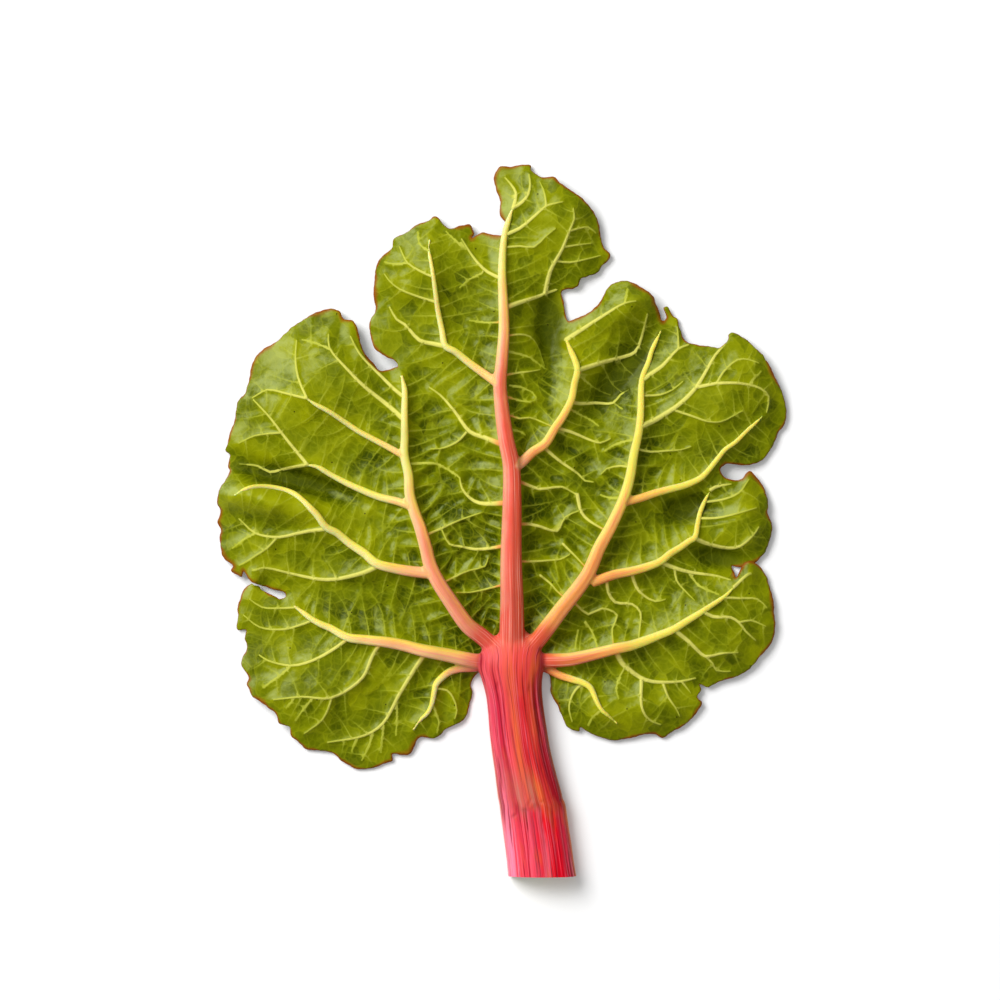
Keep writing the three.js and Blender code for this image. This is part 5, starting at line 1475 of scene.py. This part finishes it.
    def carve(self, points: np.ndarray, normals: np.ndarray) -> np.ndarray:
        """The skin with its ridges, raised and sunk along the normals, two furrows on each rib, and the
        creases of the kink.

        Args:
            points: n x 3 places in mm.
            normals: n x 3.

        Returns:
            n x 3 places in mm.
        """
        at = self.frame_of(points)
        upward = smoothstep(normals[:, 2], -0.3, 0.1)
        wave = self.ridge_wave(points, at)
        finer = 0.5 * noise(np.stack([at["side"] / 1.1, at["run"] / 40.0], axis=1), 1.0, 12)
        ridges = self.ridge_depth * wave + 0.13 * finer
        lift = at["kind"] * upward * smoothstep(points[:, 1], 12, -8) * ridges
        size = np.clip(at["width"] / 10, 0, 1) ** 1.5 * smoothstep(at["rib_run"], 7, 18)
        bend = 1.2 * noise(np.stack([at["rib_run"] / 40, 0 * size], axis=1), 1.0, 15)
        furrow = np.cos(2.5 * np.pi * at["rib_across"] + bend)
        lift += (1 - at["kind"]) * upward * size * 0.2 * furrow
        for crease in CREASES:
            lift -= at["kind"] * crease.depth * crease.share(points) * smoothstep(normals[:, 2], -0.2, 0.3)
        return points + normals * lift[:, None]

    def build(self, origin: np.ndarray, finishes: list) -> bpy.types.Object:
        """The piece, cut square at its lower end, with what its finishes need at each point.

        Args:
            origin: place of the drawing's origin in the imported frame, in mm.
            finishes: the skin's and the cut end's materials.

        Returns:
            The piece.
        """
        points, faces = self.joined()
        rough = make_piece("rough", points, faces, scale=1.0)
        points = self.carve(points, read(rough.data.vertices, "normal", 3))
        bpy.data.objects.remove(rough)
        piece = make_piece("stalk_and_ribs_skin", points, faces, scale=1.0)
        for finish in finishes:
            piece.data.materials.append(finish)
        self.cut_end(piece.data)
        points = read(piece.data.vertices, "co", 3)
        edges = read(piece.data.edges, "vertices", 2, int)
        at = self.frame_of(points)
        # groove: depth of the grooves between the ridges, and below it the dents of the creases; it darkens
        # them, partly as the stalk's own dark lines and partly as painted shade
        at["groove"] = np.clip(-self.ridge_wave(points, at), 0, 1)
        at["bruise"] = np.max([strip.height * strip.share(points[:, :2]) for strip in BRUISES], axis=0)
        at["amber"] = np.max([strip.height * strip.share(points[:, :2]) for strip in AMBER], axis=0)
        creased = np.max([crease.share(points) for crease in CREASES], axis=0)
        at["groove"] = np.maximum(at["groove"], creased)
        at["rib_across"] = at["rib_across"] * smoothstep(at["rib_run"], 6, 22)
        soft = ("kind", "blush", "groove", "bruise", "amber")
        values = np.column_stack([at[name] for name in soft])
        for _ in range(4):
            values = values + 0.6 * towards_neighbours(values, edges)
        at.update(zip(soft, values.T))
        for name in ("across", "side", "run", "rib_across", "rib_side", "rib_run", "warm", *soft):
            add_attribute(piece, name, at[name])
        piece.data.vertices.foreach_set("co", ((points + origin) * MM).ravel())
        piece.data.update()
        return piece

    def cut_end(self, mesh: bpy.types.Mesh) -> None:
        """Cuts the stalk off square at its end and closes the cut with a flat face of the second material.

        Args:
            mesh: the skin, in the drawing's mm.
        """
        work = bmesh.new()
        work.from_mesh(mesh)
        geometry = work.verts[:] + work.edges[:] + work.faces[:]
        bmesh.ops.bisect_plane(work, geom=geometry, dist=1e-4, plane_co=(0, self.cut, 0),
                               plane_no=(0, -1, 0), clear_outer=True)
        open_edges = [edge for edge in work.edges if edge.is_boundary]
        for edge in open_edges:
            edge.smooth = False
        cap = bmesh.ops.contextual_create(work, geom=open_edges)["faces"]
        for face in cap:
            face.material_index = 1
            face.smooth = False
        bmesh.ops.triangulate(work, faces=cap)
        work.to_mesh(mesh)
        work.free()


# ---------------------------------------- finishes


def linear(colour: str) -> tuple:
    """Linear RGBA of an sRGB hex colour such as "#8E9E10"."""
    parts = np.array([int(colour[i : i + 2], 16) for i in (1, 3, 5)]) / 255
    return (*np.where(parts > 0.04045, ((parts + 0.055) / 1.055) ** 2.4, parts / 12.92), 1.0)


def add_node(tree: bpy.types.NodeTree, kind: str, inputs: dict | None = None, out: str | int = 0,
             stops: list | None = None, **settings: object) -> bpy.types.NodeSocket | None:
    """Adds a node to a material with its settings and links.

    Args:
        tree: the material's nodes.
        kind: the node's type after "ShaderNode".
        inputs: for each input, by name or number, the socket it is linked to, or its value or hex colour.
        out: the output to give back.
        stops: positions and hex colours of a colour ramp.
        settings: the node's own properties.

    Returns:
        The output socket, or None for a node that has none.
    """
    node = tree.nodes.new("ShaderNode" + kind)
    for key, value in settings.items():
        setattr(node, key, value)
    for key, value in (inputs or {}).items():
        if isinstance(value, bpy.types.NodeSocket):
            tree.links.new(value, node.inputs[key])
        else:
            node.inputs[key].default_value = linear(value) if isinstance(value, str) else value
    for i, (position, colour) in enumerate(stops or []):
        element = node.color_ramp.elements[i] if i < 2 else node.color_ramp.elements.new(position)
        element.position = position
        element.color = linear(colour)
    return node.outputs[out] if len(node.outputs) else None


def attribute(tree: bpy.types.NodeTree, name: str) -> bpy.types.NodeSocket:
    """A number that the mesh carries at each point."""
    return add_node(tree, "Attribute", out="Fac", attribute_name=name)


def carried(tree: bpy.types.NodeTree, value: object, start: object, end: object, low: object = 0.0,
            high: object = 1.0, smooth: bool = False) -> bpy.types.NodeSocket:
    """A value carried over from the span start to end to the span low to high, and held at its ends.

    Args:
        tree: the material's nodes.
        value: the socket to carry over.
        start: the value that gives low, and with the others a number or a socket.
        end: the value that gives high.
        low: what start gives.
        high: what end gives.
        smooth: eases both ends instead of going straight.

    Returns:
        The output socket.
    """
    ease = "SMOOTHSTEP" if smooth else "LINEAR"
    spans = {0: value, 1: start, 2: end, 3: low, 4: high}
    return add_node(tree, "MapRange", spans, interpolation_type=ease)


def tinted(tree: bpy.types.NodeTree, share: object, below: object, above: object) -> bpy.types.NodeSocket:
    """The colour below with a share of the colour above mixed in."""
    return add_node(tree, "Mix", {0: share, 6: below, 7: above}, out=2, data_type="RGBA")


def new_material(name: str) -> bpy.types.Material:
    """An empty material that uses nodes."""
    material = bpy.data.materials.new(name)
    material.use_nodes = True
    material.node_tree.nodes.clear()
    return material


PER_MM = 1 / MM
TOWARDS_KEY = (-0.55, 0.45, 0.7)  # roughly the way to the key light


@dataclass(frozen=True)
class LeafTissue:
    """A leaf's soft green tissue with its net of veins: waxy and half glossy, and finely quilted."""

    name: str
    deep: str  # colours of the tissue, from its hollows to its crests: painted shade darkens the hollows and painted light brightens the crests, over tone that differs at random
    middle: str
    bright: str
    # painted shade: the dark colour mixed into the named folds, where shade falls
    fold: str
    net: str
    vein_fine: str
    vein_wide: str
    vein_root: str
    rim: str
    # painted highlight: the pale colour laid on faces that turn towards the key light
    painted_sheen_colour: str
    painted_sheen: float  # share of the painted highlight colour on the facets that face the key light most
    roughness: float
    quilting: float  # mm of bump
    shine: float  # of the waxy skin's reflection, 0.5 for a full 4 percent
    net_sinks: bool = False

    def build(self) -> bpy.types.Material:
        """The material: greens by noise, darker in hollows and lighter on crests as painted shade and light,
        a random tone for each facet as painted facet shading, a Voronoi net, a painted highlight on faces
        that point to the upper left towards the key light, painted shade in the named folds, veins by
        attribute, a red-brown rim and a few specks.

        Returns:
            The material.
        """
        material = new_material(self.name)
        tree = material.node_tree
        place = add_node(tree, "TexCoord", out="Object")
        wobble = add_node(tree, "TexNoise", {"Vector": place, "Scale": PER_MM / 7, "Detail": 2.0},
                          out="Color")
        centred = add_node(tree, "VectorMath", {0: wobble, 1: (0.5, 0.5, 0.5)}, operation="SUBTRACT")
        warp = add_node(tree, "VectorMath", {0: centred, "Scale": 5 * MM}, operation="SCALE")
        warped = add_node(tree, "VectorMath", {0: place, 1: warp})
        # net of small veins, cells of 8 and 3.2 mm
        wide_cell = add_node(tree, "TexVoronoi", {"Vector": warped, "Scale": PER_MM / 8}, out="Distance",
                             feature="DISTANCE_TO_EDGE")
        fine_cell = add_node(tree, "TexVoronoi", {"Vector": warped, "Scale": PER_MM / 3.2}, out="Distance",
                             feature="DISTANCE_TO_EDGE")
        wide_net = carried(tree, wide_cell, 0.0, 0.09, 1.0, 0.0, smooth=True)
        fine_net = carried(tree, fine_cell, 0.0, 0.16, 0.55, 0.0, smooth=True)
        net = add_node(tree, "Math", {0: wide_net, 1: fine_net}, operation="MAXIMUM")
        # tissue, with each 8 mm facet toned a little lighter or darker at random as painted shading of
        # tilted facets
        facet = add_node(tree, "TexVoronoi", {"Vector": warped, "Scale": PER_MM / 8}, out="Color")
        leaning = carried(tree, facet, 0.2, 0.8, -0.1, 0.1)
        patch = add_node(tree, "TexNoise", {"Vector": place, "Scale": PER_MM / 26, "Detail": 5.0,
                                            "Roughness": 0.6})
        # painted shade and light: darker in hollows and the crumpled middle, lighter on crests
        hollow_painted_shade = attribute(tree, "hollow_painted_shade")
        raised = carried(tree, hollow_painted_shade, -2.4, 1.4, -0.24, 0.24)
        tone = add_node(tree, "Math", {0: patch, 1: raised})
        tone = add_node(tree, "Math", {0: tone, 1: leaning})
        tissue = add_node(tree, "ValToRGB", {0: tone},
                          stops=[(0.2, self.deep), (0.75, self.bright), (0.48, self.middle)])
        netted = add_node(tree, "Math", {0: net, 1: 0.26}, operation="MULTIPLY")
        tissue = tinted(tree, netted, tissue, self.net)
        # patches of painted highlight, on what faces the key light
        cloud = add_node(tree, "TexNoise", {"Vector": warped, "Scale": PER_MM / 13, "Detail": 5.0,
                                            "Roughness": 0.75})
        spread = carried(tree, cloud, 0.42, 0.58)
        normal = add_node(tree, "NewGeometry", out="Normal")
        towards = add_node(tree, "VectorMath", {0: normal, 1: TOWARDS_KEY}, out="Value",
                           operation="DOT_PRODUCT")
        lit = carried(tree, towards, 0.8, 0.97, 0.0, self.painted_sheen)
        painted_sheen = add_node(tree, "Math", {0: lit, 1: spread}, operation="MULTIPLY")
        tissue = tinted(tree, painted_sheen, tissue, self.painted_sheen_colour)
        # painted shade in the named folds
        fold = attribute(tree, "fold")
        fold_painted_shade = carried(tree, fold, 0.25, 0.85, 0.0, 0.7, smooth=True)
        tissue = tinted(tree, fold_painted_shade, tissue, self.fold)
        # veins
        vein = attribute(tree, "vein")
        bold = attribute(tree, "bold")
        onset = carried(tree, bold, 0.5, 1.0, 0.58, 0.4)
        full = add_node(tree, "Math", {0: onset, 1: 0.32})
        on_vein = carried(tree, vein, onset, full, 0.0, bold, smooth=True)
        pale = attribute(tree, "pale")
        flesh = tinted(tree, pale, self.vein_fine, self.vein_wide)
        blush = attribute(tree, "blush")
        reddened = carried(tree, blush, 0.08, 0.6, 0.0, 0.75)
        flesh = tinted(tree, reddened, flesh, self.vein_root)
        colour = tinted(tree, on_vein, tissue, flesh)
        # margin, up to 3 mm wide
        rim = attribute(tree, "rim")
        uneven = add_node(tree, "TexNoise", {"Vector": place, "Scale": PER_MM / 14, "Detail": 3.0})
        reach = carried(tree, uneven, 0.42, 0.7, 0.4, 3.0)
        at_rim = carried(tree, rim, reach, 0.1, 0.0, 0.9)
        colour = tinted(tree, at_rim, colour, self.rim)
        # a few black specks, 0.8 mm wide
        speck = add_node(tree, "TexVoronoi", {"Vector": place, "Scale": PER_MM / 42}, out="Distance",
                         voronoi_dimensions="2D")
        specked = carried(tree, speck, 0.007, 0.011, 0.85, 0.0)
        colour = tinted(tree, specked, colour, "#201804")
        # bump, in mm of quilting between the veins of the net
        grain = add_node(tree, "TexNoise", {"Vector": place, "Scale": PER_MM / 1.1, "Detail": 2.0})
        soft = add_node(tree, "Math", {0: grain, 1: 0.5, 2: net}, operation="MULTIPLY_ADD")
        bump = add_node(tree, "Bump", {"Height": soft, "Distance": self.quilting * MM, "Strength": 0.8},
                        invert=self.net_sinks)
        gloss = carried(tree, patch, 0.3, 0.7, self.roughness + 0.06, self.roughness - 0.05)
        skin = add_node(tree, "BsdfPrincipled", {"Base Color": colour, "Roughness": gloss, "Normal": bump,
                                                 "IOR": 1.45, "Specular IOR Level": self.shine})
        add_node(tree, "OutputMaterial", {"Surface": skin})
        return material


@dataclass(frozen=True)
class StalkSkin:
    """A rhubarb stalk's thin, taut skin: wet looking, streaked lengthwise in reds that pale up the ribs."""

    name: str = "rhubarb skin, smooth"
    roughness: float = 0.34
    glow: float = 0.5  # share of the light that passes through the flesh

    def build(self) -> bpy.types.Material:
        """The material: the stalk's colours above and below its kink, the ribs', and a cross-fade between.

        Returns:
            The material.
        """
        material = new_material(self.name)
        tree = material.node_tree
        stalk, streak = self.stalk_colour(tree)
        kind = attribute(tree, "kind")
        colour = tinted(tree, kind, self.rib_colour(tree), stalk)
        relief = add_node(tree, "Mix", {0: kind, 2: 0.5, 3: streak})
        bump = add_node(tree, "Bump", {"Height": relief, "Distance": 0.12 * MM, "Strength": 0.6})
        skin = add_node(tree, "BsdfPrincipled", {"Base Color": colour, "Roughness": self.roughness,
                                                 "Normal": bump, "IOR": 1.4, "Specular IOR Level": 0.12,
                                                 "Subsurface Weight": self.glow, "Subsurface Scale": 3 * MM,
                                                 "Subsurface Radius": (1.0, 0.35, 0.15)})
        add_node(tree, "OutputMaterial", {"Surface": skin})
        return material

    def strings(self, tree: bpy.types.NodeTree, side: str, run: str) -> tuple:
        """Noises drawn out lengthwise, in mm: streaks of 1.1 by 45, threads of 0.6 by 60, clouds of 7 by 30.

        Args:
            tree: the material's nodes.
            side: name of the attribute that holds the mm across.
            run: name of the attribute that holds the mm along.

        Returns:
            The three noises' sockets.
        """
        aside = attribute(tree, side)
        along = attribute(tree, run)
        flow = add_node(tree, "CombineXYZ", {0: aside, 1: along})
        stretched = add_node(tree, "VectorMath", {0: flow, 1: (1 / 1.1, 1 / 45, 0)}, operation="MULTIPLY")
        streak = add_node(tree, "TexNoise", {"Vector": stretched, "Scale": 1.0, "Detail": 2.0,
                                             "Roughness": 0.6})
        narrow = add_node(tree, "VectorMath", {0: flow, 1: (1 / 0.6, 1 / 60, 5)}, operation="MULTIPLY")
        thread = add_node(tree, "TexNoise", {"Vector": narrow, "Scale": 1.0, "Detail": 1.0})
        wide = add_node(tree, "VectorMath", {0: flow, 1: (1 / 7, 1 / 30, 9)}, operation="MULTIPLY")
        cloud = add_node(tree, "TexNoise", {"Vector": wide, "Scale": 1.0, "Detail": 3.0})
        return streak, thread, cloud

    def stalk_colour(self, tree: bpy.types.NodeTree) -> tuple:
        """The stalk's reds in lengthwise bands, paler pink towards its left as a painted highlight and
        darker crimson towards its right as painted shade, with pink threads, dark grooves that are partly
        painted shade, and brown bruises.

        Args:
            tree: the material's nodes.

        Returns:
            The colour's socket and the streaks'.
        """
        streak, thread, cloud = self.strings(tree, "side", "run")
        across = attribute(tree, "across")
        run = attribute(tree, "run")
        spread = carried(tree, streak, 0.3, 0.7, -0.12, 0.12)
        shifted = add_node(tree, "Math", {0: across, 1: spread})
        band = carried(tree, shifted, -1.05, 1.05)
        # across the stalk: pink on the left as a painted highlight, deep crimson on the right as painted
        # shade, over the stalk's own red bands
        upper = add_node(tree, "ValToRGB", {0: band}, stops=[
            (0.0, "#CC3A4C"), (1.0, "#94101E"), (0.1, "#DC5264"), (0.22, "#BC1C38"), (0.34, "#DC4850"),
            (0.46, "#DC5840"), (0.56, "#CC2A30"), (0.68, "#D62C30"), (0.82, "#B81826"),
        ])
        lower = add_node(tree, "ValToRGB", {0: band}, stops=[
            (0.0, "#EA7088"), (1.0, "#C8283E"), (0.16, "#EE829C"), (0.2, "#E64456"), (0.33, "#E03A4E"),
            (0.36, "#AC0822"), (0.39, "#EA566C"), (0.48, "#DE384C"), (0.52, "#D40C26"), (0.6, "#E65E70"),
            (0.66, "#E0061C"), (0.8, "#DE0A22"), (0.88, "#D22840"),
        ])
        below_kink = carried(tree, run, -74.5, -78.0)
        paling = carried(tree, run, -48.0, -94.0)
        leftmost = carried(tree, across, -0.5, -0.75)
        below_kink = add_node(tree, "Mix", {0: leftmost, 2: below_kink, 3: paling})
        stalk = tinted(tree, below_kink, upper, lower)
        fresh = carried(tree, run, -24.0, 3.0, 0.0, 0.5)
        stalk = tinted(tree, fresh, stalk, "#E46450")
        sunny = carried(tree, cloud, 0.54, 0.7, 0.0, 0.6)
        stalk = tinted(tree, sunny, stalk, "#D4602C")
        pink = carried(tree, thread, 0.55, 0.66, 0.0, 0.55)
        stalk = tinted(tree, pink, stalk, "#EC6C80")
        dark = carried(tree, streak, 0.46, 0.35, 0.0, 0.8)
        stalk = tinted(tree, dark, stalk, "#80061A")
        # darker in the grooves and dents: partly the skin's own dark lines, partly painted shade
        groove = attribute(tree, "groove")
        sunk = add_node(tree, "Math", {0: groove, 1: 0.7}, operation="MULTIPLY")
        stalk = tinted(tree, sunk, stalk, "#880420")
        for name, tint in (("amber", "#D87428"), ("bruise", "#AC7460")):
            strip = attribute(tree, name)
            frayed = carried(tree, thread, 0.3, 0.6, 0.35, 0.85)
            share = add_node(tree, "Math", {0: strip, 1: frayed}, operation="MULTIPLY")
            stalk = tinted(tree, share, stalk, tint)
        return stalk, streak

    def rib_colour(self, tree: bpy.types.NodeTree) -> bpy.types.NodeSocket:
        """The ribs' colour, red at their roots and yellow at their ends, redder along their middles, and
        more orange along their right flanks and on the ribs right of x = 14 mm; on the flanks this is partly
        their own colour and partly painted shade, away from the key light.

        Args:
            tree: the material's nodes.

        Returns:
            The colour's socket.
        """
        _, thread, cloud = self.strings(tree, "rib_side", "rib_run")
        across = attribute(tree, "rib_across")
        blush = attribute(tree, "blush")
        middle = add_node(tree, "Math", {0: across}, operation="ABSOLUTE")
        core = carried(tree, middle, 0.1, 0.7, 0.12, -0.08)
        mottled = carried(tree, thread, 0.3, 0.7, -0.14, 0.14)
        clouded = carried(tree, cloud, 0.35, 0.65, -0.1, 0.1)
        varied = add_node(tree, "Math", {0: mottled, 1: clouded})
        varied = add_node(tree, "Math", {0: varied, 1: core})
        redness = add_node(tree, "Math", {0: varied, 1: blush})
        left = add_node(tree, "ValToRGB", {0: redness}, stops=[
            (0.0, "#D6D286"), (1.0, "#DC5C4C"), (0.22, "#DCCC80"), (0.42, "#E8B680"), (0.6, "#EAA07C"),
            (0.8, "#E2806A"),
        ])
        right = add_node(tree, "ValToRGB", {0: redness}, stops=[
            (0.0, "#DCD256"), (1.0, "#CC5036"), (0.22, "#E6C656"), (0.42, "#ECAE58"), (0.6, "#E09450"),
            (0.8, "#D06E40"),
        ])
        # the right ramp is partly a shaded copy of the left: painted shade on the right flanks, and the own
        # orange of the ribs on the right
        warm = attribute(tree, "warm")
        warmer = add_node(tree, "Math", {0: across, 1: warm})
        turned = carried(tree, warmer, -0.3, 0.6)
        rib = tinted(tree, turned, left, right)
        pale = carried(tree, thread, 0.54, 0.74, 0.0, blush)
        rib = tinted(tree, pale, rib, "#E8A08C")
        lined = carried(tree, thread, 0.44, 0.26, 0.0, blush)
        return tinted(tree, lined, rib, "#CC4838")


@dataclass(frozen=True)
class StalkFlesh:
    """A freshly cut stalk's flesh: wet, pale green and pink, with the ends of its strings as dots."""

    name: str = "rhubarb flesh, cut"

    def build(self) -> bpy.types.Material:
        """The material: pale flesh with a Voronoi dot for each string.

        Returns:
            The material.
        """
        material = new_material(self.name)
        tree = material.node_tree
        place = add_node(tree, "TexCoord", out="Object")
        string = add_node(tree, "TexVoronoi", {"Vector": place, "Scale": PER_MM / 2.4}, out="Distance")
        cloud = add_node(tree, "TexNoise", {"Vector": place, "Scale": PER_MM / 6, "Detail": 4.0})
        flesh = add_node(tree, "ValToRGB", {0: cloud},
                         stops=[(0.3, "#D8D890"), (0.7, "#E09A8A"), (0.5, "#DCC888")])
        dot = carried(tree, string, 0.1, 0.3, 0.45, 0.0)
        colour = tinted(tree, dot, flesh, "#B8C060")
        bump = add_node(tree, "Bump", {"Height": string, "Distance": 0.2 * MM, "Strength": 0.5})
        skin = add_node(tree, "BsdfPrincipled", {"Base Color": colour, "Roughness": 0.35, "Normal": bump,
                                                 "IOR": 1.4})
        add_node(tree, "OutputMaterial", {"Surface": skin})
        return material


UNDERSIDE = LeafTissue(
    name="rhubarb leaf tissue, underside",
    deep="#384400", middle="#667000", bright="#868C02", fold="#3C4400", net="#989C14",
    vein_fine="#9CA424", vein_wide="#CCC860", vein_root="#E08048", rim="#8C3010", painted_sheen_colour="#A4B070",
    painted_sheen=0.42, roughness=0.42, quilting=0.08, shine=0.06,
)
UPPER_SIDE = LeafTissue(
    name="rhubarb leaf tissue, upper side",
    deep="#203408", middle="#34500E", bright="#4A6A14", fold="#3C3A08", net="#506E1C",
    vein_fine="#7C9438", vein_wide="#B8BC60", vein_root="#C04830", rim="#7C3410", painted_sheen_colour="#7C9458",
    painted_sheen=0.3, roughness=0.32, quilting=0.15, shine=0.3, net_sinks=True,
)


# ---------------------------------------- studio


@dataclass(frozen=True)
class Studio:
    """A plain pale floor, one soft light at the upper left, a large one overhead, and a camera above."""

    view_width: float = 0.5  # m of floor across the view
    middle: tuple = (-0.001, 0.0101)
    camera_height: float = 3.0
    floor_size: float = 6.0
    floor_level: float = -0.0001
    floor_shade: float = 0.8
    floor_glow: float = 0.09  # the floor is lit a little from below, as a light table is
    key_place: tuple = (-2.4, 2.0, 3.1)
    key_size: float = 2.6
    key_power: float = 256.0
    fill_size: float = 2.6
    fill_height: float = 2.4
    fill_power: float = 15.0
    sky: float = 0.25

    def build(self) -> None:
        """Makes the floor, the lights and the camera."""
        half = self.floor_size / 2
        corners = np.array([(-half, -half, 0), (half, -half, 0), (half, half, 0), (-half, half, 0)])
        floor = make_piece("floor", corners + (0, 0, self.floor_level), [(0, 1, 2, 3)], scale=1.0)
        material = new_material("paper, matt white")
        paper = add_node(material.node_tree, "BsdfPrincipled", {
            "Base Color": (*(self.floor_shade,) * 3, 1), "Roughness": 0.9, "Specular IOR Level": 0.1,
            "Emission Color": (1, 1, 1, 1), "Emission Strength": self.floor_glow,
        })
        add_node(material.node_tree, "OutputMaterial", {"Surface": paper})
        floor.data.materials.append(material)
        self.area_light("key_light", self.key_place, self.key_size, self.key_power, True)
        self.area_light("fill_light", (0, 0, self.fill_height), self.fill_size, self.fill_power, False)
        world = bpy.data.worlds.new("studio")
        world.use_nodes = True
        world.node_tree.nodes["Background"].inputs["Strength"].default_value = self.sky
        world.node_tree.nodes["Background"].inputs["Color"].default_value = (1, 1, 1, 1)
        world.cycles_visibility.glossy = False
        bpy.context.scene.world = world
        bpy.context.scene.view_settings.view_transform = "Standard"
        lens = bpy.data.cameras.new("camera")
        lens.sensor_width = 36.0
        lens.lens = lens.sensor_width * self.camera_height / self.view_width
        camera = bpy.data.objects.new("camera", lens)
        camera.location = (*self.middle, self.camera_height)
        bpy.context.scene.collection.objects.link(camera)
        bpy.context.scene.camera = camera

    def area_light(self, name: str, place: tuple, size: float, power: float, glossy: bool) -> None:
        """Adds a square light that faces the middle of the floor and isn't seen itself.

        Args:
            name: its name.
            place: where it hangs, in m.
            size: its side in m.
            power: in watts.
            glossy: whether surfaces mirror it.
        """
        lamp = bpy.data.lights.new(name, "AREA")
        lamp.size = size
        lamp.energy = power
        light = bpy.data.objects.new(name, lamp)
        light.location = place
        light.rotation_euler = (-light.location).to_track_quat("-Z", "Y").to_euler()
        light.visible_camera = False
        light.visible_glossy = glossy
        bpy.context.scene.collection.objects.link(light)


# ---------------------------------------- all of it


def main() -> None:
    """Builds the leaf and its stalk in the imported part's frame and lights them."""
    logging.basicConfig(level=logging.INFO, format="%(name)s: %(message)s")
    low = np.array(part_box("leaf_blade")[0]) / MM
    origin = np.array([low[0] - min(x for x, _ in MARGIN), low[1] - min(y for _, y in MARGIN), 0.0])
    relief = Relief()
    blade = Blade(relief).build(origin, [UNDERSIDE.build(), UPPER_SIDE.build()])
    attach(blade, "root")
    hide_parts("leaf_blade")
    stalk = Stalk(relief).build(origin, [StalkSkin().build(), StalkFlesh().build()])
    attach(stalk, "root")
    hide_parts("stalk_and_ribs")
    Studio().build()
    for piece in (blade, stalk):
        piece.data.calc_loop_triangles()
        log.info("%s: %d triangles", piece.name, len(piece.data.loop_triangles))


if __name__ == "__main__":
    main()
